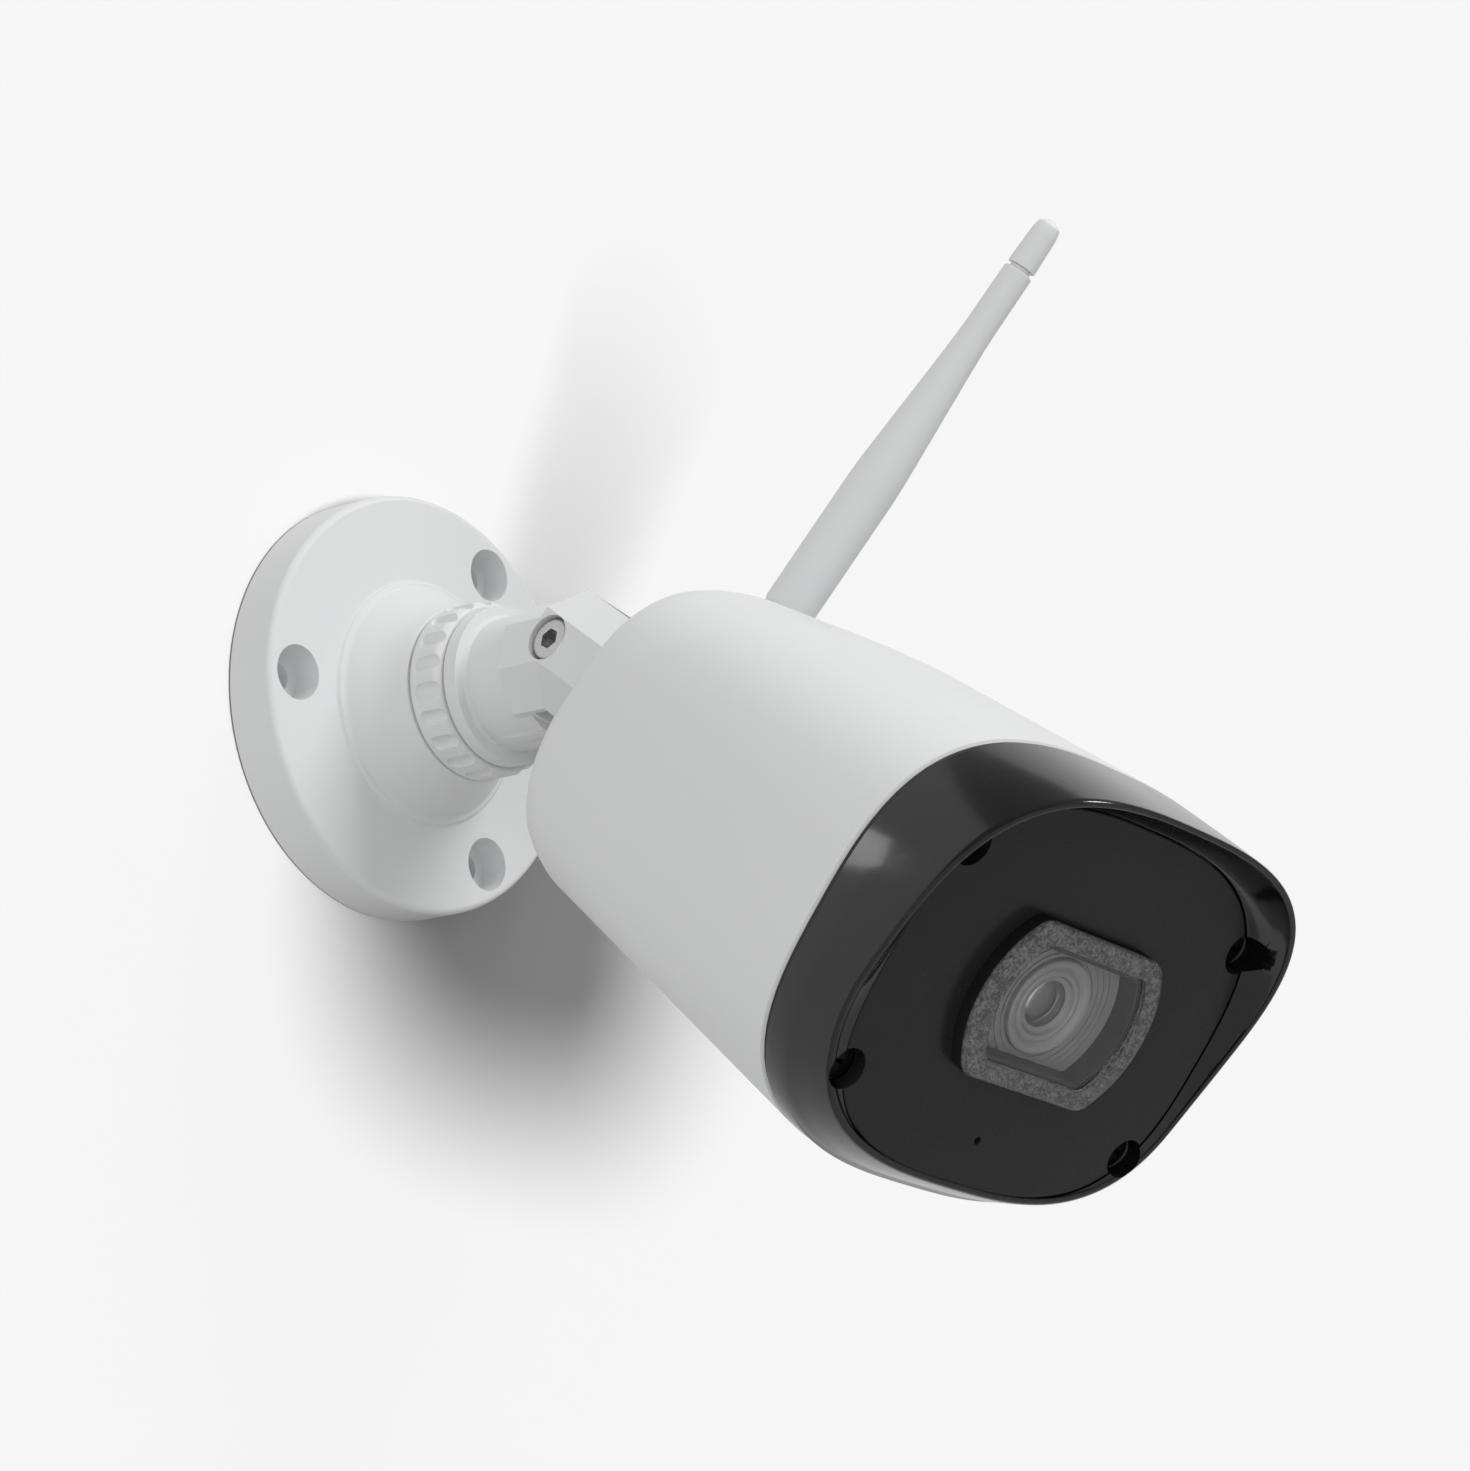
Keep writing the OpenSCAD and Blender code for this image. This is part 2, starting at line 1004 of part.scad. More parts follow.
module antenna_whip() {
    color("whitesmoke")
        at_whip()
            difference() {
                union() {
                    xrod(-1.7, 1.7, 2.6);
                    translate([-1.7, -2.4, 0])
                        cube([3.4, 4.8, 6.2]);
                    zrod(5.6, 32, whip_d / 2);
                    zrod(31.99, 56, whip_d / 2, whip_tip_d / 2);
                    zrod(55.99, whip_l - 9.2, whip_tip_d / 2);
                    zrod(whip_l - 9.3, whip_l - 4, 1.4);
                }
                xrod(-6, 6, 1.06);
            }
}

module antenna_tip() {
    color("whitesmoke")
        at_whip()
            difference() {
                union() {
                    zrod(whip_l - 8.6, whip_l - 2, whip_tip_d / 2 - 0.15, whip_tip_d / 2 - 0.3);
                    translate([0, 0, whip_l - 2.15])
                        sphere(d = whip_tip_d - 0.6, $fn = 48);
                }
                zrod(whip_l - 10, whip_l - 3.9, 1.42);
            }
}

// ---------- show ----------

wall_base();
base_pad();
lock_ring();
neck_washer();
elbow();
pan_clip();
tilt_screw();
tilt_nut();
tilt_washers();
tilt_arm();
roll_clip();
roll_seal();
roll_lock_screw();
body_shell();
front_hood();
hood_seal();
hood_screws();
faceplate();
lens_frame();
lens_window();
lens_baffle();
lens_barrel();
front_element();
rear_element();
lens_holder();
shutter_frame();
night_filter();
image_sensor();
sensor_board();
led_board();
night_leds();
light_sensor();
microphone();
mic_boot();
chassis();
main_board();
processor();
heat_sink();
wifi_module();
memory_slot();
board_screws();
chassis_screws();
speaker();
reset_switch();
reset_button();
service_cover();
cover_seal();
cover_screws();
cable_gland();
antenna_socket();
antenna_swivel();
antenna_pin();
antenna_whip();
antenna_tip();
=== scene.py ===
"""Looks of a wall security camera on a jointed bracket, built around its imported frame.

Pieces are drawn in millimetres in the frame of the body that they belong to, then put in place in metres.
"""

import json
import math

import bmesh
import bpy
from bpy.props import FloatProperty, FloatVectorProperty, IntProperty, PointerProperty
from mathutils import Matrix, Vector


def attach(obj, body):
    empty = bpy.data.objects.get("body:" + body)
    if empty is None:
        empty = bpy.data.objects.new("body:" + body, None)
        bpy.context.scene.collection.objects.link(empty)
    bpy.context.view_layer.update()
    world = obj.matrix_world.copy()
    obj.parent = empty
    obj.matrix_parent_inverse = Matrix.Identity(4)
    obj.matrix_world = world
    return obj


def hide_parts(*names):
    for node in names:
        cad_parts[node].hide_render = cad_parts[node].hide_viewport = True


bl_info = {
    "name": "Wall Security Camera",
    "version": (1, 0, 0),
    "blender": (4, 5, 0),
    "location": "3D View > Sidebar > Wall Camera",
    "description": "Housing, hood, lens, bracket and antenna of a wall security camera",
    "category": "Object",
}

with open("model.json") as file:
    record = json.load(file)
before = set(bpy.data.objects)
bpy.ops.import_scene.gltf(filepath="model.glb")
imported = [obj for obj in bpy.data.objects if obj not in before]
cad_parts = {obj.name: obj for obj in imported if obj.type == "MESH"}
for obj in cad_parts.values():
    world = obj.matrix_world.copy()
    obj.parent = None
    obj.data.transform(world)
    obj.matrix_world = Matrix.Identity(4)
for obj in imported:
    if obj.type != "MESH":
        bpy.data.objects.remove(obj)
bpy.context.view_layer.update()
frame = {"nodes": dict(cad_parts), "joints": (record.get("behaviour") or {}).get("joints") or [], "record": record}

MM = 0.001
TURN = 2 * math.pi
WELD = 1e-4
JOINTS = {joint["name"]: joint for joint in frame["joints"]}
SLOTS = {entry["node"]: entry["material_slot"] for entry in frame["record"]["subparts"]}


# ---------- sizes and colours ----------


def length(name, description, millimetres):
    """A length property shown in the scene's units."""
    return FloatProperty(name=name, description=description, default=millimetres * MM, unit="LENGTH", precision=4)


def colour(name, description, value):
    return FloatVectorProperty(
        name=name, description=description, default=value, subtype="COLOR", size=3, min=0, max=1
    )


class WallcamBaseSizes(bpy.types.PropertyGroup):
    """Wall base and lock ring."""

    diameter: length("Diameter", "Outer diameter of the wall base", 70)
    rim: length("Rim height", "Height of the rim off the wall", 9.2)
    hole_circle: length("Hole circle", "Diameter of the circle of wall holes", 57.5)
    hole: length("Hole", "Diameter of a wall hole", 4.8)
    recess: length("Recess", "Diameter of the recess for a screw head", 8.9)
    hole_turn: FloatProperty(
        name="Hole turn", description="Angle of the first wall hole", default=math.radians(67.8), unit="ROTATION"
    )
    ring: length("Ring", "Outer diameter of the lock ring", 28.6)
    dimples: IntProperty(name="Dimples", description="Grip dimples round the lock ring", default=20, min=6, max=40)


class WallcamBracketSizes(bpy.types.PropertyGroup):
    """Elbow, arm and tilt screw."""

    hinge: length("Hinge", "Distance of the tilt hinge from the wall", 46.2)
    trunk: length("Trunk", "Diameter of the elbow's trunk", 21.6)
    flange: length("Flange", "Diameter of the elbow's flange", 26)
    width: length("Width", "Width across the two cheeks", 23)
    height: length("Height", "Height of the cheeks", 19)
    tongue: length("Tongue", "Width of the arm's tongue", 9.8)
    bend: FloatProperty(
        name="Bend", description="Angle between trunk and cheeks", default=math.radians(35.3), unit="ROTATION"
    )


class WallcamBodySizes(bpy.types.PropertyGroup):
    """Body shell and front hood."""

    half_width: length("Half width", "Half width of the section at the lip", 35.8)
    half_height: length("Half height", "Half height of the section at the lip", 29.8)
    squareness: FloatProperty(name="Squareness", description="2 is an ellipse, more is squarer", default=2.9)
    glass_to_hinge: length("Face to hinge", "Distance from the faceplate to the tilt hinge", 115.6)
    hood_depth: length("Hood depth", "Depth of the hood behind the faceplate", 10.2)
    lip_reach: length("Lip reach", "Reach of the lip before the faceplate at mid height", 1.3)
    lip_flat: length("Lip flat", "Reach of the lip along its lower part", 0.15)
    lip_slope: FloatProperty(
        name="Lip slope", description="Lean of the lip, top forward", default=math.radians(10.5), unit="ROTATION"
    )
    glass_scale: FloatProperty(name="Glass scale", description="Outline of the faceplate against the lip", default=0.905)
    shell_depth: length("Shell depth", "Depth of the rear rim behind the faceplate", 79)
    rear_depth: length("Rear depth", "Depth of the rear face behind the faceplate", 86.5)


class WallcamLensSizes(bpy.types.PropertyGroup):
    """Lens frame and lens."""

    frame_radius: length("Frame radius", "Radius of the bowed sides of the lens frame", 16.4)
    frame_half_height: length("Frame half height", "Half height of the lens frame", 11.5)
    frame_rise: length("Frame rise", "Rise of the lens frame over the faceplate", 3)
    barrel: length("Barrel", "Diameter of the lens barrel", 14)


class WallcamAntennaSizes(bpy.types.PropertyGroup):
    """Stick antenna."""

    thick: length("Thick", "Diameter of the antenna's thick part", 8.2)
    thin: length("Thin", "Diameter of the antenna's thin part", 4.9)
    reach: length("Length", "Length from the fold pin to the tip", 77.95)


class WallcamColours(bpy.types.PropertyGroup):
    """Colours of the main finishes."""

    housing: colour("Housing", "Moulded housing and antenna", (0.74, 0.745, 0.75))
    bracket: colour("Bracket", "Powder coated bracket", (0.75, 0.755, 0.76))
    hood: colour("Hood", "Gloss hood", (0.006, 0.006, 0.0065))
    faceplate: colour("Faceplate", "Tinted plate in front", (0.018, 0.018, 0.018))
    steel: colour("Steel", "Screws", (0.62, 0.62, 0.63))
    backdrop: colour("Backdrop", "Wall and floor", (0.42, 0.42, 0.42))


class WallcamSettings(bpy.types.PropertyGroup):
    """All the settings, one group for each part of the camera."""

    base: PointerProperty(type=WallcamBaseSizes)
    bracket: PointerProperty(type=WallcamBracketSizes)
    body: PointerProperty(type=WallcamBodySizes)
    lens: PointerProperty(type=WallcamLensSizes)
    antenna: PointerProperty(type=WallcamAntennaSizes)
    colours: PointerProperty(type=WallcamColours)


def in_mm(group):
    """The group's lengths in millimetres and its other values as they are."""
    values = {}
    for key, item in group.bl_rna.properties.items():
        if key in {"rna_type", "name"}:
            continue
        value = getattr(group, key)
        values[key] = value / MM if getattr(item, "unit", "NONE") == "LENGTH" else value
    return values


# ---------- places ----------


def place(x_axis, y_axis, at):
    """Matrix from a body's own millimetres to the shared frame in metres."""
    x_axis, y_axis = Vector(x_axis).normalized(), Vector(y_axis).normalized()
    matrix = Matrix((x_axis, y_axis, x_axis.cross(y_axis))).transposed().to_4x4()
    matrix.translation = Vector(at)
    return matrix @ Matrix.Scale(MM, 4)


def places(settings):
    """Each body's place at rest, read from the joints' axes."""
    tilt, turn = JOINTS["tilt"], JOINTS["antenna_turn"]
    hinge = Vector(tilt["pos_m"])
    back = Vector(turn["axis"])
    right = Vector(JOINTS["night_shift"]["axis"])
    face = hinge - back.normalized() * settings.body.glass_to_hinge
    return {
        "wall": Matrix.Scale(MM, 4),
        "elbow": place(tilt["axis"], (0, 1, 0), hinge),
        "arm": place(tilt["axis"], -Vector(JOINTS["roll"]["axis"]), hinge),
        "face": place(right, back, face),
        "whip": place(-Vector(JOINTS["antenna_fold"]["axis"]), back, turn["pos_m"]),
    }


# ---------- shapes ----------


def clean(bm):
    bmesh.ops.remove_doubles(bm, verts=bm.verts, dist=WELD)
    bmesh.ops.dissolve_degenerate(bm, edges=bm.edges, dist=WELD)
    bmesh.ops.recalc_face_normals(bm, faces=bm.faces)
    return bm


def outline(bm, points, rounds=None):
    """A closed outline in the XY plane whose numbered corners are rounded."""
    verts = [bm.verts.new((x, y, 0)) for x, y in points]
    for start, end in zip(verts, verts[1:] + verts[:1]):
        bm.edges.new((start, end))
    for number, radius in (rounds or {}).items():
        bmesh.ops.bevel(
            bm,
            geom=[verts[number]],
            offset=radius,
            offset_type="OFFSET",
            segments=5,
            profile=0.5,
            affect="VERTICES",
            material=-1,
            clamp_overlap=True,
        )
    return bm


def lathe(profile, rounds=None, steps=96, at=(0, 0, 0)):
    """A closed profile of radius and depth, spun about the Y axis."""
    bm = outline(bmesh.new(), profile, rounds)
    bmesh.ops.spin(
        bm, geom=bm.verts[:] + bm.edges[:], cent=(0, 0, 0), axis=(0, 1, 0), dvec=(0, 0, 0),
        angle=TURN, steps=steps, use_merge=True, use_duplicate=False,
    )
    bmesh.ops.translate(bm, vec=at, verts=bm.verts)
    return clean(bm)


def peg(y0, y1, radius, at=(0, 0, 0), steps=48, rounding=0):
    """A round bar along Y."""
    rounds = {1: rounding, 2: rounding} if rounding else None
    return lathe([(0, y0), (radius, y0), (radius, y1), (0, y1)], rounds, steps, at)


def turned(bm, angle, axis, centre=(0, 0, 0)):
    bmesh.ops.rotate(bm, cent=centre, matrix=Matrix.Rotation(angle, 3, axis), verts=bm.verts)
    return bm


def moved(bm, x, y, z):
    bmesh.ops.translate(bm, vec=(x, y, z), verts=bm.verts)
    return bm


def block(low, high, rounding=0, segments=2):
    """A box between two corners, its edges rounded."""
    bm = bmesh.new()
    bmesh.ops.create_cube(bm, size=1)
    size = [b - a for a, b in zip(low, high)]
    bmesh.ops.scale(bm, vec=size, verts=bm.verts)
    bmesh.ops.translate(bm, vec=[(a + b) / 2 for a, b in zip(low, high)], verts=bm.verts)
    if rounding:
        bevel_edges(bm, bm.edges[:], rounding, segments)
    return bm


def bevel_edges(bm, edges, width, segments=3):
    bmesh.ops.bevel(
        bm, geom=edges, offset=width, offset_type="OFFSET", segments=segments, profile=0.5,
        affect="EDGES", material=-1, clamp_overlap=True,
    )
    return bm


def plate(points, y0, y1, rounds=None):
    """A flat outline of X and Z, thick from y0 to y1."""
    bm = outline(bmesh.new(), points, rounds)
    bmesh.ops.contextual_create(bm, geom=bm.verts[:] + bm.edges[:])
    turned(bm, math.radians(90), "X")
    moved(bm, 0, y0, 0)
    grown = bmesh.ops.extrude_face_region(bm, geom=bm.faces[:])["geom"]
    bmesh.ops.translate(bm, vec=(0, y1 - y0, 0), verts=[v for v in grown if isinstance(v, bmesh.types.BMVert)])
    return clean(bm)


def joined(*parts):
    """One bmesh that holds all the parts, which are used up."""
    whole = parts[0]
    for part in parts[1:]:
        mesh = bpy.data.meshes.new("part")
        part.to_mesh(mesh)
        part.free()
        whole.from_mesh(mesh)
        bpy.data.meshes.remove(mesh)
    return whole


def stand_in(bm):
    mesh = bpy.data.meshes.new("stand_in")
    bm.to_mesh(mesh)
    bm.free()
    item = bpy.data.objects.new("stand_in", mesh)
    bpy.context.scene.collection.objects.link(item)
    return item


def combine(base, tools, operation):
    """The base after a union or a difference with each tool in turn."""
    for tool in tools:
        items = [stand_in(base), stand_in(tool)]
        modifier = items[0].modifiers.new("combine", "BOOLEAN")
        modifier.operation = operation
        modifier.solver = "EXACT"
        modifier.object = items[1]
        base = bmesh.new()
        base.from_object(items[0], bpy.context.evaluated_depsgraph_get())
        for item in items:
            bpy.data.meshes.remove(item.data)
    return clean(base)


def cut(base, *tools):
    return combine(base, tools, "DIFFERENCE")


def fused(base, *tools):
    return combine(base, tools, "UNION")


def copied(node, where):
    """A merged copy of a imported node, in the millimetres of its own body."""
    bm = bmesh.new()
    bm.from_mesh(frame["nodes"][node].data)
    bmesh.ops.transform(bm, matrix=where.inverted(), verts=bm.verts)
    bmesh.ops.remove_doubles(bm, verts=bm.verts, dist=1e-3)
    bmesh.ops.dissolve_limit(bm, angle_limit=math.radians(0.6), verts=bm.verts, edges=bm.edges)
    return bm


# ---------- finishes ----------


def group_tree(name, inputs, outputs):
    """A shader node group with named inputs and outputs."""
    tree = bpy.data.node_groups.new(name, "ShaderNodeTree")
    for label, kind, value in inputs:
        item = tree.interface.new_socket(name=label, in_out="INPUT", socket_type=kind)
        if value is not None:
            item.default_value = value
    for label, kind in outputs:
        tree.interface.new_socket(name=label, in_out="OUTPUT", socket_type=kind)
    return tree, tree.nodes.new("NodeGroupInput").outputs, tree.nodes.new("NodeGroupOutput").inputs


def add(tree, kind, **values):
    """A node whose settings, and whose inputs written as in_0 or in_Name, are given."""
    node = tree.nodes.new(kind)
    for key, value in values.items():
        if not key.startswith("in_"):
            setattr(node, key, value)
    for key, value in values.items():
        if key.startswith("in_"):
            label = key[3:].replace("_", " ")
            socket = node.inputs[int(label)] if label.isdigit() else node.inputs[label]
            if isinstance(value, bpy.types.NodeSocket):
                tree.links.new(value, socket)
            else:
                socket.default_value = value
    return node


def maths(tree, operation, first, second=0.5, clamp=False):
    return add(tree, "ShaderNodeMath", operation=operation, use_clamp=clamp, in_0=first, in_1=second).outputs[0]


def mix_colour(tree, factor, first, second, blend="MIX"):
    node = add(tree, "ShaderNodeMix", data_type="RGBA", blend_type=blend)
    for socket, value in ((node.inputs[0], factor), (node.inputs[6], first), (node.inputs[7], second)):
        if isinstance(value, bpy.types.NodeSocket):
            tree.links.new(value, socket)
        else:
            socket.default_value = value
    return node.outputs[2]


def stretch(tree, value, low, high, to_low=0.0, to_high=1.0):
    """A value mapped from one span to another, kept within it."""
    node = add(
        tree, "ShaderNodeMapRange", clamp=True, in_0=value, in_1=low, in_2=high, in_3=to_low, in_4=to_high
    )
    return node.outputs[0]


def noise(tree, vector, scale, detail=3.0, roughness=0.55):
    node = add(tree, "ShaderNodeTexNoise", in_Scale=scale, in_Detail=detail, in_Roughness=roughness)
    tree.links.new(vector, node.inputs["Vector"])
    return node.outputs["Fac"]


FLOAT, COLOUR, VECTOR = "NodeSocketFloat", "NodeSocketColor", "NodeSocketVector"


def grain_group():
    """Fine skin of a moulded or coated surface: a height, and a slow drift of shade."""
    tree, given, out = group_tree(
        "Skin Grain",
        [("Vector", VECTOR, None), ("Scale", FLOAT, 1500.0), ("Drift", FLOAT, 18.0)],
        [("Height", FLOAT), ("Drift", FLOAT)],
    )
    fine = noise(tree, given["Vector"], given["Scale"], 2.0)
    coarse = noise(tree, given["Vector"], maths(tree, "MULTIPLY", given["Scale"], 0.3), 2.0)
    tree.links.new(maths(tree, "ADD", maths(tree, "MULTIPLY", fine, 0.65), maths(tree, "MULTIPLY", coarse, 0.35)), out["Height"])
    slow = noise(tree, given["Vector"], given["Drift"], 4.0)
    tree.links.new(stretch(tree, slow, 0.3, 0.7), out["Drift"])
    return tree


def wear_group():
    """Where edges and corners have been rubbed: 1 on a worn edge, 0 elsewhere."""
    tree, given, out = group_tree(
        "Edge Wear",
        [("Vector", VECTOR, None), ("Width", FLOAT, 0.0006), ("Amount", FLOAT, 0.5)],
        [("Mask", FLOAT)],
    )
    rounded = add(tree, "ShaderNodeBevel", samples=4)
    tree.links.new(given["Width"], rounded.inputs["Radius"])
    flat = add(tree, "ShaderNodeNewGeometry")
    dot = add(tree, "ShaderNodeVectorMath", operation="DOT_PRODUCT")
    tree.links.new(rounded.outputs[0], dot.inputs[0])
    tree.links.new(flat.outputs["Normal"], dot.inputs[1])
    edge = stretch(tree, dot.outputs["Value"], 0.98, 0.75)
    patchy = stretch(tree, noise(tree, given["Vector"], 420.0, 5.0, 0.7), 0.45, 0.62)
    tree.links.new(maths(tree, "MULTIPLY", maths(tree, "MULTIPLY", edge, patchy), given["Amount"], True), out["Mask"])
    return tree


def dust_group():
    """Thin dust that has settled on faces that look up: a patchy mask."""
    tree, given, out = group_tree(
        "Settled Dust",
        [("Vector", VECTOR, None), ("Amount", FLOAT, 0.3)],
        [("Mask", FLOAT)],
    )
    facing = add(tree, "ShaderNodeSeparateXYZ", in_0=add(tree, "ShaderNodeTexCoord").outputs["Normal"]).outputs[2]
    up = stretch(tree, facing, 0.1, 0.95)
    specks = stretch(tree, noise(tree, given["Vector"], 900.0, 3.0), 0.56, 0.7)
    haze = stretch(tree, noise(tree, given["Vector"], 60.0, 4.0), 0.35, 0.75, 0.1, 0.6)
    both = maths(tree, "MAXIMUM", specks, haze)
    tree.links.new(maths(tree, "MULTIPLY", maths(tree, "MULTIPLY", up, both), given["Amount"], True), out["Mask"])
    return tree


def scratch_group():
    """Hairline handling scratches in two directions: a mask."""
    tree, given, out = group_tree(
        "Hairlines",
        [("Vector", VECTOR, None), ("Scale", FLOAT, 260.0)],
        [("Mask", FLOAT)],
    )
    lines = []
    for turn in (0.5, -0.9):
        spun = add(
            tree, "ShaderNodeMapping", in_Vector=given["Vector"], in_Rotation=(turn, turn / 2, turn),
            in_Scale=(1.0, 0.03, 0.4),
        ).outputs[0]
        lines.append(stretch(tree, noise(tree, spun, given["Scale"], 2.0), 0.66, 0.72))
    tree.links.new(maths(tree, "MAXIMUM", lines[0], lines[1]), out["Mask"])
    return tree


GROUPS = {}


def effect(tree, name, **inputs):
    """One of the shared effect groups, placed in a material."""
    if name not in GROUPS:
        makers = {
            "Skin Grain": grain_group, "Edge Wear": wear_group,
            "Settled Dust": dust_group, "Hairlines": scratch_group,
        }
        GROUPS[name] = makers[name]()
    node = tree.nodes.new("ShaderNodeGroup")
    node.node_tree = GROUPS[name]
    for key, value in inputs.items():
        if isinstance(value, bpy.types.NodeSocket):
            tree.links.new(value, node.inputs[key])
        else:
            node.inputs[key].default_value = value
    return node.outputs


def rgba(value, factor=1.0):
    return tuple(min(1.0, channel * factor) for channel in tuple(value)[:3]) + (1.0,)


def material(name):
    made = bpy.data.materials.new(name)
    made.use_nodes = True
    tree = made.node_tree
    shader = tree.nodes["Principled BSDF"]
    vector = add(tree, "ShaderNodeTexCoord").outputs["Object"]
    return made, tree, shader, vector


def bump(tree, shader, height, distance, strength=1.0):
    node = add(tree, "ShaderNodeBump", in_Height=height, in_Distance=distance, in_Strength=strength)
    tree.links.new(node.outputs[0], shader.inputs["Normal"])


def skin(name, base, rough, grain=1500.0, depth=0.00002, drift=0.03, wear=0.0, wear_tint=None, dust=0.0, **sockets):
    """A moulded, coated or rubber surface with grain, drift, rubbed edges and dust."""
    made, tree, shader, vector = material(name)
    fine = effect(tree, "Skin Grain", Vector=vector, Scale=grain)
    shade = mix_colour(tree, fine["Drift"], rgba(base, 1 - drift), rgba(base, 1 + drift))
    roughness = stretch(tree, fine["Drift"], 0.0, 1.0, rough - 0.04, rough + 0.04)
    if wear:
        worn = effect(tree, "Edge Wear", Vector=vector, Amount=wear)["Mask"]
        shade = mix_colour(tree, worn, shade, rgba(wear_tint or base, 1.0))
    if dust:
        settled = effect(tree, "Settled Dust", Vector=vector, Amount=dust)["Mask"]
        shade = mix_colour(tree, settled, shade, (0.34, 0.33, 0.31, 1))
        roughness = maths(tree, "ADD", roughness, maths(tree, "MULTIPLY", settled, 0.3), True)
    tree.links.new(shade, shader.inputs["Base Color"])
    tree.links.new(roughness, shader.inputs["Roughness"])
    bump(tree, shader, fine["Height"], depth)
    for key, value in sockets.items():
        shader.inputs[key.replace("_", " ")].default_value = value
    return made


def gloss(name, base, rough, dust=0.0, ripple=0.000004, **sockets):
    """A polished surface with faint hairlines, a moulding ripple and dust."""
    made, tree, shader, vector = material(name)
    fine = effect(tree, "Skin Grain", Vector=vector, Scale=90.0)
    lines = effect(tree, "Hairlines", Vector=vector, Scale=900.0)["Mask"]
    shade = mix_colour(tree, fine["Drift"], rgba(base, 0.85), rgba(base, 1.15))
    roughness = maths(tree, "ADD", stretch(tree, fine["Drift"], 0.0, 1.0, rough, rough + 0.03), maths(tree, "MULTIPLY", lines, 0.06))
    if dust:
        settled = effect(tree, "Settled Dust", Vector=vector, Amount=dust)["Mask"]
        shade = mix_colour(tree, settled, shade, (0.3, 0.3, 0.3, 1))
        roughness = maths(tree, "ADD", roughness, maths(tree, "MULTIPLY", settled, 0.4), True)
    tree.links.new(shade, shader.inputs["Base Color"])
    tree.links.new(roughness, shader.inputs["Roughness"])
    bump(tree, shader, fine["Height"], ripple)
    for key, value in sockets.items():
        shader.inputs[key.replace("_", " ")].default_value = value
    return made


def metal(name, base, rough, along=(1.0, 0.04, 1.0), scale=2600.0, depth=0.000004):
    """Bright or brushed metal with fine tool lines and slight tarnish."""
    made, tree, shader, vector = material(name)
    drawn = add(tree, "ShaderNodeMapping", in_Vector=vector, in_Scale=along).outputs[0]
    lines = noise(tree, drawn, scale, 3.0)
    slow = stretch(tree, noise(tree, vector, 160.0, 4.0), 0.35, 0.7)
    worn = effect(tree, "Edge Wear", Vector=vector, Width=0.0003, Amount=0.6)["Mask"]
    shade = mix_colour(tree, slow, rgba(base), rgba(base, 0.8))
    shade = mix_colour(tree, worn, shade, rgba(base, 1.25))
    tree.links.new(shade, shader.inputs["Base Color"])
    tree.links.new(maths(tree, "ADD", stretch(tree, lines, 0.3, 0.7, rough - 0.06, rough + 0.08), maths(tree, "MULTIPLY", slow, 0.06)), shader.inputs["Roughness"])
    shader.inputs["Metallic"].default_value = 1.0
    bump(tree, shader, lines, depth)
    return made


def clear(name, tint, rough=0.02, ior=1.5, **sockets):
    """Clear glass or plastic with the faintest haze, which lets lamps shine through."""
    made, tree, shader, vector = material(name)
    fine = effect(tree, "Skin Grain", Vector=vector, Scale=300.0)
    shade = mix_colour(tree, fine["Drift"], rgba(tint), rgba(tint, 0.97))
    tree.links.new(shade, shader.inputs["Base Color"])
    tree.links.new(stretch(tree, fine["Drift"], 0.0, 1.0, rough, rough + 0.02), shader.inputs["Roughness"])
    shader.inputs["Transmission Weight"].default_value = 1.0
    shader.inputs["IOR"].default_value = ior
    for key, value in sockets.items():
        shader.inputs[key.replace("_", " ")].default_value = value
    shadow = add(tree, "ShaderNodeLightPath").outputs["Is Shadow Ray"]
    passing = add(tree, "ShaderNodeBsdfTransparent", in_Color=rgba(tint))
    choose = add(tree, "ShaderNodeMixShader", in_0=shadow, in_1=shader.outputs[0], in_2=passing.outputs[0])
    tree.links.new(choose.outputs[0], tree.nodes["Material Output"].inputs["Surface"])
    return made


def bezel_finish():
    """Spark-eroded dark moulding whose fine crystals glint."""
    made, tree, shader, vector = material("textured_bezel")
    crystals = add(tree, "ShaderNodeTexVoronoi", in_Vector=vector, in_Scale=3600.0).outputs["Distance"]
    fine = effect(tree, "Skin Grain", Vector=vector, Scale=2600.0)
    speck = stretch(tree, fine["Height"], 0.42, 0.62)
    shade = mix_colour(tree, speck, (0.07, 0.07, 0.07, 1), (0.21, 0.21, 0.212, 1))
    tree.links.new(shade, shader.inputs["Base Color"])
    tree.links.new(stretch(tree, speck, 0.0, 1.0, 0.38, 0.6), shader.inputs["Roughness"])
    bump(tree, shader, maths(tree, "ADD", crystals, fine["Height"]), 0.00004)
    return made


def board_finish():
    """Green circuit board with copper tracks under the lacquer and a weave."""
    made, tree, shader, vector = material("circuit_board")
    tracks = add(
        tree, "ShaderNodeTexBrick", in_Vector=vector, in_Scale=220.0, in_Mortar_Size=0.04,
        in_Color1=(0.012, 0.11, 0.045, 1), in_Color2=(0.014, 0.13, 0.05, 1), in_Mortar=(0.03, 0.22, 0.08, 1),
    )
    weave = noise(tree, vector, 2400.0, 2.0)
    tree.links.new(tracks.outputs["Color"], shader.inputs["Base Color"])
    tree.links.new(stretch(tree, weave, 0.3, 0.7, 0.28, 0.42), shader.inputs["Roughness"])
    bump(tree, shader, maths(tree, "ADD", tracks.outputs["Fac"], maths(tree, "MULTIPLY", weave, 0.3)), 0.00002)
    return made


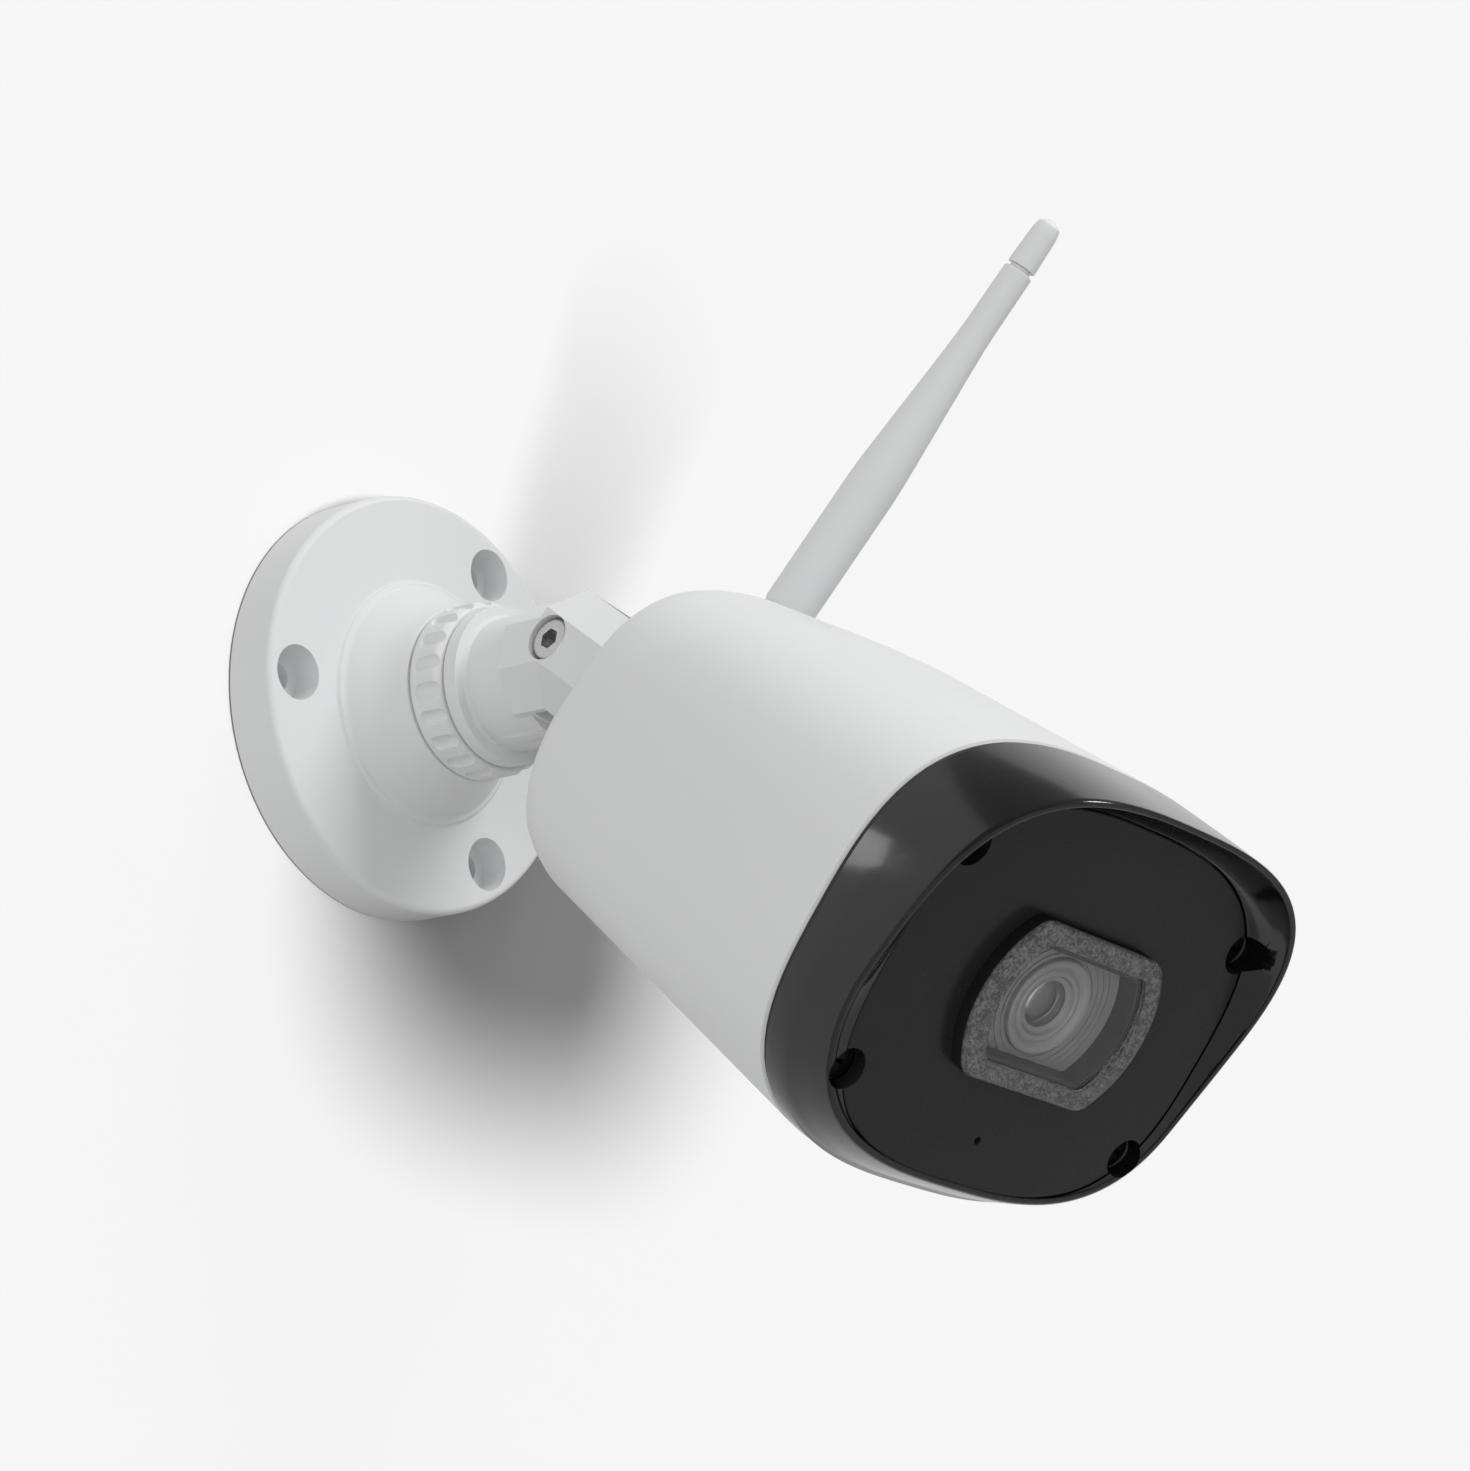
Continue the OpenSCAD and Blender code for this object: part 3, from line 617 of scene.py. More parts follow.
def finishes(colours):
    """All the finishes, named as the pieces use them."""
    return {
        "housing": skin("satin_housing", colours.housing, 0.46, 1900.0, 0.000012, 0.012, 0.25, (0.8, 0.8, 0.8), 0.05),
        "bracket": skin("powder_coat", colours.bracket, 0.4, 1100.0, 0.00002, 0.014, 0.3, (0.82, 0.82, 0.82), 0.05),
        "hood": gloss("piano_black", colours.hood, 0.14, 0.012, Coat_Weight=0.3, Coat_Roughness=0.08),
        "faceplate": gloss("tinted_plate", colours.faceplate, 0.22, 0.001, Specular_IOR_Level=0.3),
        "black": skin("black_moulding", (0.008, 0.008, 0.008), 0.5, 1700.0, 0.00002, 0.2, 0.2, (0.03, 0.03, 0.03)),
        "bezel": bezel_finish(),
        "lens_ring": skin("lens_ring", (0.17, 0.17, 0.172), 0.38, 1700.0, 0.00001, 0.1),
        "grey": skin("grey_moulding", (0.15, 0.15, 0.152), 0.5, 1500.0, 0.00002, 0.1),
        "rubber": skin("soft_rubber", (0.03, 0.03, 0.03), 0.72, 900.0, 0.00003, 0.2, 0, None, 0.2),
        "steel": metal("bright_steel", colours.steel, 0.24),
        "dark_steel": metal("blackened_steel", (0.06, 0.06, 0.062), 0.35),
        "fin": metal("extruded_aluminium", (0.7, 0.7, 0.72), 0.35),
        "gold": metal("gold_plate", (0.8, 0.6, 0.25), 0.25),
        "nylon": skin("natural_nylon", (0.6, 0.59, 0.55), 0.5, 1200.0, 0.00002, 0.05, Subsurface_Weight=0.1),
        "board": board_finish(),
        "chip": skin("chip_package", (0.02, 0.02, 0.022), 0.55, 2600.0, 0.00001, 0.15),
        "led": clear("clear_emitter", (0.9, 0.88, 0.75), 0.08, 1.45),
        "glass": clear("lens_cover", (0.96, 0.96, 0.96), 0.015, 1.45),
        "element": clear("coated_element", (0.8, 0.8, 0.82), 0.01, 1.6, Coat_Weight=0.5),
        "filter": clear("pink_filter", (0.9, 0.6, 0.65), 0.02),
    }


SLOT_FINISH = {
    "white_plastic": "housing", "white_metal": "bracket", "black_gloss": "hood", "black_matte": "black",
    "dark_glass": "faceplate", "clear_glass": "glass", "grey_plate": "grey", "rubber": "rubber",
    "steel": "steel", "nylon": "nylon", "board": "board", "chip": "chip", "fin": "fin", "gold": "gold",
    "led": "led",
}
NODE_FINISH = {
    "hood_screws": "dark_steel", "front_element": "element", "rear_element": "element",
    "night_filter": "filter", "roll_lock_screw": "dark_steel",
}


# ---------- pieces ----------


class Maker:
    """What the operators share while the camera is made."""

    places = {}
    finishes = {}

    @classmethod
    def start(cls):
        settings = bpy.context.scene.wallcam
        cls.places = places(settings)
        cls.finishes = finishes(settings.colours)
        return settings


def piece(name, bm, where, body, finish, node, bevel=0.0, segments=3, angle=32.0, replaced=True):
    """Puts a finished shape in place: its mesh, finish, body and the node that it stands for."""
    bmesh.ops.transform(bm, matrix=Maker.places[where], verts=bm.verts)
    bmesh.ops.recalc_face_normals(bm, faces=bm.faces)
    mesh = bpy.data.meshes.new(name)
    bm.to_mesh(mesh)
    bm.free()
    mesh.polygons.foreach_set("use_smooth", [True] * len(mesh.polygons))
    mesh.set_sharp_from_angle(angle=math.radians(angle))
    item = bpy.data.objects.new(name, mesh)
    bpy.context.scene.collection.objects.link(item)
    if bevel:
        modifier = item.modifiers.new("soft edges", "BEVEL")
        modifier.width = bevel * MM
        modifier.segments = segments
        modifier.limit_method = "ANGLE"
        modifier.angle_limit = math.radians(angle)
        modifier.harden_normals = True
        modifier.use_clamp_overlap = True
    weighted = item.modifiers.new("even shading", "WEIGHTED_NORMAL")
    weighted.keep_sharp = True
    item.data.materials.append(Maker.finishes[finish])
    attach(item, body)
    if replaced:
        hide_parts(node)
    return item


class WALLCAM_OT_frame(bpy.types.Operator):
    """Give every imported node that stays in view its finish"""

    bl_idname = "wallcam.frame"
    bl_label = "Frame finishes"

    def execute(self, context):
        Maker.start()
        for name, node in frame["nodes"].items():
            finish = Maker.finishes[NODE_FINISH.get(name, SLOT_FINISH[SLOTS[name]])]
            node.data.materials.clear()
            node.data.materials.append(finish)
        return {"FINISHED"}


class WALLCAM_OT_base(bpy.types.Operator):
    """Wall base: a turned foot with a flared neck and three recessed holes"""

    bl_idname = "wallcam.base"
    bl_label = "Wall base"

    def execute(self, context):
        size = in_mm(context.scene.wallcam.base)
        rim, radius = size["rim"], size["diameter"] / 2
        profile = [
            (radius, 0), (radius - 0.15, -rim), (20.4, -rim), (20.1, -rim - 0.55), (19.2, -rim - 0.6),
            (18.2, -11.3), (16.9, -12.9), (15.8, -14.6), (15.0, -16.6), (14.4, -18.9), (11.5, -18.95),
            (11.5, -24.6), (9.05, -24.6), (9.05, -12.8), (10.4, -12.6), (10.4, -1), (25.4, -1), (25.4, 0),
        ]
        rounds = {0: 0.4, 1: 1.1, 2: 0.3, 3: 0.25, 4: 0.5, 5: 1.2, 6: 1.2, 7: 1.2, 8: 1.2, 9: 0.3}
        foot = lathe(profile, rounds, 144)
        drill = [(0, 5), (size["hole"] / 2, 5), (size["hole"] / 2, -4.2), (size["recess"] / 2, -4.2), (size["recess"] / 2, -20), (0, -20)]
        tools = []
        for number in range(3):
            angle = size["hole_turn"] + number * TURN / 3
            reach = size["hole_circle"] / 2
            tools.append(lathe(drill, None, 64, (reach * math.cos(angle), 0, reach * math.sin(angle))))
        piece("base_foot", cut(foot, *tools), "wall", "wall", "bracket", "wall_base", 0.35)
        return {"FINISHED"}


class WALLCAM_OT_ring(bpy.types.Operator):
    """Lock ring with rounded grip dimples"""

    bl_idname = "wallcam.ring"
    bl_label = "Lock ring"

    def execute(self, context):
        size = in_mm(context.scene.wallcam.base)
        outer = size["ring"] / 2
        ring = lathe(
            [(11.55, -19.3), (outer, -19.3), (outer, -24.7), (outer - 0.8, -25.4), (11.55, -25.4)],
            {1: 0.4, 2: 0.5, 3: 0.3}, 180,
        )
        groove = [(0, -28), (1.45, -28), (1.45, -21.4), (1.2, -20.8), (0.7, -20.4), (0, -20.2)]
        dimples = []
        for number in range(size["dimples"]):
            angle = number * TURN / size["dimples"]
            reach = outer + 0.62
            dimples.append(lathe(groove, None, 24, (reach * math.cos(angle), 0, reach * math.sin(angle))))
        piece("grip_ring", cut(ring, joined(*dimples)), "wall", "ring", "bracket", "lock_ring", 0.22, 3, 25.0)
        return {"FINISHED"}


class WALLCAM_OT_elbow(bpy.types.Operator):
    """Elbow, arm and tilt screw"""

    bl_idname = "wallcam.elbow"
    bl_label = "Elbow and arm"

    def execute(self, context):
        size = in_mm(context.scene.wallcam.bracket)
        elbow = copied("elbow", Maker.places["elbow"])
        piece("elbow_casting", elbow, "elbow", "elbow", "bracket", "elbow", 0.3, 3, 28.0)
        arm = copied("tilt_arm", Maker.places["arm"])
        piece("arm_casting", arm, "arm", "arm", "bracket", "tilt_arm", 0.4, 3, 28.0)
        side = size["width"] / 2
        screw = lathe(
            [(0, -side + 0.5), (3.5, -side + 0.5), (3.5, -side + 4.4), (2, -side + 4.4), (2, side - 0.6), (0, side - 0.6)],
            {1: 0.55, 4: 0.3}, 64,
        )
        socket = bmesh.new()
        bmesh.ops.create_cone(
            socket, cap_ends=True, segments=6, radius1=1.73, radius2=1.73, depth=6,
            matrix=Matrix.Translation((0, -side + 0.1, 0)) @ Matrix.Rotation(math.radians(90), 4, "X"),
        )
        screw = turned(cut(screw, socket), math.radians(-90), "Z")
        piece("tilt_cap_screw", screw, "elbow", "elbow", "steel", "tilt_screw", 0.12, 2)
        return {"FINISHED"}


def section_radius(size, angle):
    """Radius of the body's section in one direction."""
    n = size["squareness"]
    across = (abs(math.cos(angle)) / size["half_width"]) ** n
    return (across + (abs(math.sin(angle)) / size["half_height"]) ** n) ** (-1 / n)


def section_loft(size, stations, sides=160, closed=True):
    """Skins rings of the body's section.

    A station is a scale and a depth. The scale may be three numbers, for width, height and rise,
    and the depth may be a function of the height.
    """
    bm = bmesh.new()
    ring = bmesh.ops.create_circle(bm, cap_ends=False, segments=sides, radius=1)["verts"]
    angles = {vert: math.atan2(vert.co.y, vert.co.x) for vert in ring}

    def settle(verts, angles, station):
        scale, depth = station
        wide, tall, rise = scale if isinstance(scale, tuple) else (scale, scale, 0)
        for vert in verts:
            angle = angles[vert]
            radius = section_radius(size, angle)
            x, z = wide * radius * math.cos(angle), tall * radius * math.sin(angle) + rise
            vert.co = (x, depth(z) if callable(depth) else depth, z)

    settle(ring, angles, stations[0])
    first, edges = list(ring), list(bm.edges)
    for station in stations[1:]:
        before = {vert.co.to_tuple(6): angles[vert] for vert in ring}
        grown = bmesh.ops.extrude_edge_only(bm, edges=edges)["geom"]
        ring = [item for item in grown if isinstance(item, bmesh.types.BMVert)]
        edges = [item for item in grown if isinstance(item, bmesh.types.BMEdge)]
        angles = {vert: before[vert.co.to_tuple(6)] for vert in ring}
        settle(ring, angles, station)
    if closed:
        ends = set(first) | set(ring)
        open_edges = [edge for edge in bm.edges if edge.is_boundary and set(edge.verts) <= ends]
        bmesh.ops.bridge_loops(bm, edges=open_edges)
    return bm


class WALLCAM_OT_shell(bpy.types.Operator):
    """Body shell: the tapered housing with its rear boss"""

    bl_idname = "wallcam.shell"
    bl_label = "Body shell"

    def execute(self, context):
        size = in_mm(context.scene.wallcam.body)
        start, rim, rear = size["hood_depth"], size["shell_depth"], size["rear_depth"]
        front_scale, rear_scale = 1.04, 0.922

        def taper(depth):
            return front_scale + (rear_scale - front_scale) * (depth - start) / (rim - start)

        outside = [(taper(start) - 0.055, 6.2), (taper(start) - 0.055, start + 0.6), (taper(start) - 0.012, start + 0.6)]
        outside += [(taper(start + 0.9), start + 0.9)]
        steps = 34
        for number in range(1, steps + 1):
            depth = start + 0.9 + (rim - 3.5 - start - 0.9) * number / steps
            outside.append((taper(depth), depth))
        corner = [(0.917, 76.7), (0.909, 78.2), (0.894, 79.7), (0.868, 81.1), (0.83, 82.5), (0.78, 83.7), (0.72, 84.9), (0.66, 85.8), (0.6, 86.3), (0.5, rear)]
        outside += corner
        inside = [(0.48, 83), (0.7, 82.4), (0.84, 76), (0.915, 12), (0.915, 6.2)]
        shell = section_loft(size, outside, closed=False)
        crease(shell, size)
        bmesh.ops.holes_fill(shell, edges=[edge for edge in shell.edges if edge.is_boundary], sides=0)
        hollow = section_loft(size, [(0.5, 83.2), *inside[1:-1], (0.915, 5)], closed=False)
        bmesh.ops.holes_fill(hollow, edges=[edge for edge in hollow.edges if edge.is_boundary], sides=0)
        shell, hollow = clean(shell), clean(hollow)
        shell = cut(shell, hollow)
        boss = lathe([(0, 83.1), (13.4, 83.1), (13.2, 90), (12.6, 97), (0, 97)], {3: 0.8}, 96)
        pad = lathe([(0, 83.1), (5.4, 83.1), (5.4, 87), (0, 87)], {2: 0.4}, 64, (8.2, 0, 17))
        shell = fused(shell, boss, pad)
        tools = [
            peg(80, 100, 8, (0, 0, 0), 96), peg(80, 90, 3.2, (8.2, 0, 17), 64), peg(80, 90, 3.6, (-14, 0, -12), 64),
            block((-15.2, 44.2, -40), (15.2, 71.8, -26.2), 1.2, 4),
            block((-11.5, 47.5, -40), (11.5, 68.5, -14), 1.0, 3),
        ]
        tools += [turned(peg(18, 40, 0.9, (0, 0, 0), 24), math.radians(-90), "X") for _ in range(7)]
        for number, tool in enumerate(tools[5:]):
            moved(tool, 3.6 * (number - 3), 31, 0)
        tools += [moved(turned(peg(0, 12, 1.5, (0, 0, 0), 32), math.radians(-90), "X"), 0, 91.5, -8)]
        shell = cut(shell, *tools)
        piece("housing_shell", shell, "face", "camera", "housing", "body_shell", 0.3, 3, 34.0)
        return {"FINISHED"}


def crease(bm, size):
    """Draws the upper rear of the shell in behind a soft slanting crease."""
    low, high = Vector((0, 78.6, -2.5)), Vector((0, 58.9, 22))
    along = (high - low).normalized()
    across = Vector((0, along.z, -along.y))
    for vert in bm.verts:
        beyond = (vert.co - low).dot(across)
        if beyond > 0 and vert.co.z > -2.5:
            pull = 0.13 * beyond / max(1.0, Vector((vert.co.x, 0, vert.co.z)).length)
            bmesh.ops.scale(bm, vec=(1 - pull, 1, 1 - pull), verts=[vert])


class WALLCAM_OT_cover(bpy.types.Operator):
    """Service cover, flush with the underside, and its two screws"""

    bl_idname = "wallcam.cover"
    bl_label = "Service cover"

    def execute(self, context):
        size = in_mm(context.scene.wallcam.body)
        skin_form = section_loft(size, [(1.0, 30), (0.921, 80)], closed=False)
        bmesh.ops.holes_fill(skin_form, edges=[edge for edge in skin_form.edges if edge.is_boundary], sides=0)
        lid = block((-15, 44.4, -40), (15, 71.6, -26.8), 1.0, 4)
        lid = combine(lid, [clean(skin_form)], "INTERSECT")
        pocket = moved(turned(peg(0, 3, 2.4), math.radians(90), "X"), 0, 58, -27.3)
        pockets = [moved(pocket.copy(), x, 0, 0) for x in (-13, 13)]
        pocket.free()
        piece("service_lid", cut(lid, *pockets), "face", "camera", "housing", "service_cover", 0.2, 2)
        heads = []
        for x in (-13, 13):
            head = lathe([(0, 0), (1.9, 0), (1.9, 0.7), (1.2, 0.95), (0.9, 0.98), (0.9, 0.5), (0, 0.5)], {2: 0.2}, 48)
            stem = peg(-4.3, 0.1, 0.95, (0, 0, 0), 24)
            heads.append(moved(turned(joined(head, stem), math.radians(-90), "X"), x, 58, -27.28 + 0.02))
        piece("lid_screws", joined(*heads), "face", "camera", "steel", "cover_screws", 0.0)
        return {"FINISHED"}


class WALLCAM_OT_hood(bpy.types.Operator):
    """Gloss front hood with a slanted lip and four screw wells"""

    bl_idname = "wallcam.hood"
    bl_label = "Front hood"

    def execute(self, context):
        size = in_mm(context.scene.wallcam.body)
        back, reach, slope = size["hood_depth"], size["lip_reach"], math.tan(size["lip_slope"])
        glass = size["glass_scale"]

        def lip(z):
            return -max(size["lip_flat"], 0.5 * (reach + z * slope) + math.hypot(0.5 * (reach + z * slope), 0.35))

        def outer(share, less=0.0):
            """The outside between the rear edge, 0, and the lip, 1."""
            front = 0.62 * share + 0.38 * share * share
            return (1.036 - 0.038 * front - less, 1.036 - 0.068 * front - less, 1.45 * front)

        def inner(share):
            """The funnel between the lip, 0, and the faceplate, 1."""
            wide, tall, rise = outer(1.0, 0.03)
            return tuple(a + (b - a) * share for a, b in zip((wide, tall, rise), (glass, glass, 0.0)))

        def depth(share):
            return lambda z: back + (lip(z) - back) * share

        stations = [((1.028, 1.028, 0), back), ((1.0395, 1.0395, 0), back - 0.4), ((1.036, 1.036, 0), 6.5)]
        stations += [(outer(0.3), depth(0.45)), (outer(0.55), depth(0.65)), (outer(0.8), depth(0.84)), (outer(0.93), depth(0.94))]
        stations += [(outer(0.97), depth(0.978)), (outer(1.0, 0.004), depth(0.994)), (outer(1.0, 0.011), depth(1.0))]
        stations += [(outer(1.0, 0.022), depth(1.0)), (outer(1.0, 0.028), depth(0.992)), (inner(0.0), depth(0.97))]
        stations += [(inner(share), lambda z, share=share: 0.04 + (lip(z) * 0.93 - 0.04) * (1 - share) ** 1.5) for share in (0.12, 0.3, 0.5, 0.7, 0.88)]
        stations += [((glass, glass, 0), 0.05), ((glass, glass, 0), 2.6), ((0.79, 0.79, 0), 2.6), ((0.79, 0.79, 0), 5.9)]
        stations += [((0.993, 0.993, 0), 5.9), ((0.993, 0.993, 0), back)]
        hood = clean(section_loft(size, stations))
        wells = []
        for x in (-28.9, 28.9):
            for z in (-16.3, 16.3):
                wells.append(lathe(
                    [(0, -16), (2.8, -16), (2.8, 2.5), (2.45, 2.6), (2.45, 4.6), (1.35, 4.6), (1.35, 12), (0, 12)],
                    {2: 0.3}, 48, (x, 0, z),
                ))
        piece("hood_shell", cut(hood, *wells), "face", "camera", "hood", "front_hood", 0.16, 3, 38.0)
        return {"FINISHED"}


def bowed(radius, half_height, arc=20):
    """Corners of a plate with flat top and bottom and bowed sides."""
    reach = math.asin(half_height / radius)
    points = []
    for side in (0, math.pi):
        for number in range(arc + 1):
            angle = side - reach + 2 * reach * number / arc
            points.append((radius * math.cos(angle), radius * math.sin(angle)))
    return points


def bowed_plate(radius, half_height, y0, y1, corner=0.5):
    arc = 20
    rounds = {number: corner for number in (0, arc, arc + 1, 2 * arc + 1)}
    return plate(bowed(radius, half_height, arc), y0, y1, rounds)


class WALLCAM_OT_front(bpy.types.Operator):
    """Faceplate, lens frame, window and lens"""

    bl_idname = "wallcam.front"
    bl_label = "Faceplate and lens"

    def execute(self, context):
        size = in_mm(context.scene.wallcam.body)
        lens = in_mm(context.scene.wallcam.lens)
        radius, half, rise = lens["frame_radius"], lens["frame_half_height"], lens["frame_rise"]
        edge = size["glass_scale"] - 0.006
        face = section_loft(size, [(edge - 0.007, 0.05), (edge, 0.25), (edge, 2.4)], closed=False)
        bmesh.ops.holes_fill(face, edges=[edge for edge in face.edges if edge.is_boundary], sides=0)
        tools = [peg(-1, 4, 2.95, (x, 0, z), 48) for x in (-28.9, 28.9) for z in (-16.3, 16.3)]
        tools += [bowed_plate(radius - 2.2, half - 2.2, -1, 4), peg(-1, 4, 0.55, (0, 0, -20.1), 32)]
        piece("tinted_faceplate", cut(clean(face), *tools), "face", "camera", "faceplate", "faceplate", 0.12, 2, 40.0)

        wall = bowed_plate(radius, half, -rise + 1.1, 0.04, 1.2)
        wall = fused(wall, bowed_plate(radius - 2.3, half - 2.3, -0.1, 3.4, 0.8))
        inner = bowed_plate(radius - 4, half - 3.6, -rise - 2, 5, 0.6)
        piece("lens_surround", cut(wall, inner), "face", "camera", "black", "lens_frame", 0.15, 2, 30.0)

        band = bowed_plate(radius, half, -rise, -rise + 1.1, 1.2)
        top = [edge for edge in band.edges if all(vert.co.y < -rise + 0.01 for vert in edge.verts)]
        bevel_edges(band, top, 0.95, 2)
        opening = bowed_plate(radius - 3.2, half - 2.8, -rise - 0.01, 5, 0.7)
        band = cut(clean(band), opening)
        piece("lens_bezel", band, "face", "camera", "bezel", "lens_frame", 0.08, 2, 20.0)

        window = bowed_plate(radius - 3.3, half - 2.9, -rise + 0.5, -rise + 1.0, 0.7)
        piece("window_pane", window, "face", "camera", "glass", "lens_window", 0.05, 1)

        plate_back = cut(bowed_plate(radius - 4.1, half - 3.7, 1.5, 2.9, 0.6), peg(0, 4, 7.1, (0, 0, 0), 96))
        rings = [
            lathe([(r, 1.5), (r, 1.3), (r + 0.3, 1.3), (r + 0.3, 1.5)], None, 96) for r in (7.5, 8.5, 9.5, 10.5)
        ]
        rings = [cut(ring, block((-20, 0, half - 3.7), (20, 3, 20)), block((-20, 0, -20), (20, 3, -half + 3.7))) for ring in rings]
        piece("lens_baffle_plate", joined(plate_back, *rings), "face", "camera", "grey", "lens_baffle", 0.05, 1)

        reach = lens["barrel"] / 2
        barrel = lathe(
            [
                (3.4, 1.9), (4.1, 1.75), (4.4, 1.2), (4.9, 1.0), (5.3, 1.25), (5.9, 0.75), (reach - 0.3, 0.6), (reach, 0.9),
                (reach, 8), (5.95, 8), (5.95, 20), (4.2, 20), (4.2, 15), (3, 15), (3, 5.2), (3.9, 5.2), (3.9, 2.6),
            ],
            {1: 0.15, 3: 0.2, 5: 0.2, 6: 0.25, 7: 0.25}, 96,
        )
        piece("lens_barrel_body", barrel, "face", "camera", "lens_ring", "lens_barrel", 0.0, 2, 30.0)
        dome = [(0, 2.15), (1.2, 2.25), (2.2, 2.5), (3.1, 2.95), (3.85, 3.5), (3.85, 5.1), (0, 5.1)]
        piece("front_lens", lathe(dome, {1: 0.4, 2: 0.4, 3: 0.4}, 96), "face", "camera", "element", "front_element")
        return {"FINISHED"}


class WALLCAM_OT_antenna(bpy.types.Operator):
    """Antenna whip, tip and swivel"""

    bl_idname = "wallcam.antenna"
    bl_label = "Antenna"

    def execute(self, context):
        size = in_mm(context.scene.wallcam.antenna)
        thick, thin, top = size["thick"] / 2, size["thin"] / 2, size["reach"]
        stick = lathe(
            [
                (0, 5.6), (thick - 0.5, 5.6), (thick, 6.4), (thick, 30), (thick - 0.25, 34.5), (thin + 0.25, 52.5),
                (thin + 0.02, 57), (thin - 0.05, top - 9.2), (thin - 0.7, top - 9.15), (thin - 0.7, top - 8.55),
                (1.4, top - 8.5), (1.4, top - 4), (0, top - 4),
            ],
            {1: 0.4, 2: 0.4, 3: 2.2, 4: 2.2, 5: 2.2, 6: 2.2, 7: 0.3}, 64,
        )
        stick = turned(stick, math.radians(90), "X")
        eye = turned(peg(-1.7, 1.7, 2.6, (0, 0, 0), 48), math.radians(-90), "Z")
        neck = block((-1.7, -2.4, 0), (1.7, 2.4, 6.2))
        stick = cut(fused(stick, eye, neck), turned(peg(-6, 6, 1.06), math.radians(-90), "Z"))
        piece("antenna_stick", stick, "whip", "whip", "housing", "antenna_whip", 0.25, 3, 34.0)
        tip = lathe(
            [
                (0, top - 3.9), (1.42, top - 3.9), (1.42, top - 8.5), (thin - 0.15, top - 8.5), (thin - 0.12, top - 8.1),
                (thin - 0.35, top - 1.8), (thin - 0.6, top - 0.9), (thin - 1.2, top - 0.2), (0, top),
            ],
            {4: 0.2, 5: 0.9, 6: 0.8, 7: 0.8}, 64,
        )
        piece("antenna_cap", turned(tip, math.radians(90), "X"), "whip", "whip", "housing", "antenna_tip", 0.0, 2, 50.0)
        swivel = copied("antenna_swivel", Maker.places["whip"])
        piece("antenna_yoke", swivel, "whip", "swivel", "housing", "antenna_swivel", 0.3, 3, 28.0)
        return {"FINISHED"}


# ---------- stage ----------


def wall_sun(name, way, spread, strength, only, blockers):
    """Even light along one way, as soft as its spread in degrees."""
    data = bpy.data.lights.new(name, "SUN")
    data.energy = strength
    data.angle = math.radians(spread)
    lamp = bpy.data.objects.new(name, data)
    bpy.context.scene.collection.objects.link(lamp)
    lamp.rotation_euler = Vector(way).to_track_quat("-Z", "Y").to_euler()
    lamp.light_linking.receiver_collection = only
    lamp.light_linking.blocker_collection = blockers


def area_light(name, at, target, size, power, only, diffuse=True, glossy=True):
    """A soft lamp that looks at a point."""
    data = bpy.data.lights.new(name, "AREA")
    data.size = size
    data.energy = power
    lamp = bpy.data.objects.new(name, data)
    bpy.context.scene.collection.objects.link(lamp)
    lamp.location = at
    lamp.rotation_euler = (Vector(target) - Vector(at)).to_track_quat("-Z", "Y").to_euler()
    lamp.light_linking.receiver_collection = only
    lamp.light_linking.blocker_collection = only
    lamp.visible_camera = False
    lamp.visible_diffuse = diffuse
    lamp.visible_glossy = glossy
    return lamp


def backdrop_finish(colour_value):
    """Pale matt paint that is seen only from its front, with painted shade that makes it darker in reflections and
    bounced light than the camera sees it.
    """
    made, tree, shader, vector = material("pale_backdrop")
    fine = effect(tree, "Skin Grain", Vector=vector, Scale=40.0, Drift=2.0)
    shade = mix_colour(tree, fine["Drift"], rgba(colour_value, 0.99), rgba(colour_value))
    ray = add(tree, "ShaderNodeLightPath").outputs
    # Painted shade: other rays see the backdrop darker than the camera does, at 0.8 of its colour in reflections and
    # 0.62 in bounced light.
    dimmed = mix_colour(tree, ray["Is Glossy Ray"], rgba(colour_value, 0.62), rgba(colour_value, 0.8))
    tree.links.new(mix_colour(tree, ray["Is Camera Ray"], dimmed, shade), shader.inputs["Base Color"])
    shader.inputs["Roughness"].default_value = 0.9
    shader.inputs["Specular IOR Level"].default_value = 0.0
    hidden = add(tree, "ShaderNodeBsdfTransparent")
    back = add(tree, "ShaderNodeNewGeometry").outputs["Backfacing"]
    choose = add(tree, "ShaderNodeMixShader", in_0=back, in_1=shader.outputs[0], in_2=hidden.outputs[0])
    tree.links.new(choose.outputs[0], tree.nodes["Material Output"].inputs["Surface"])
    return made


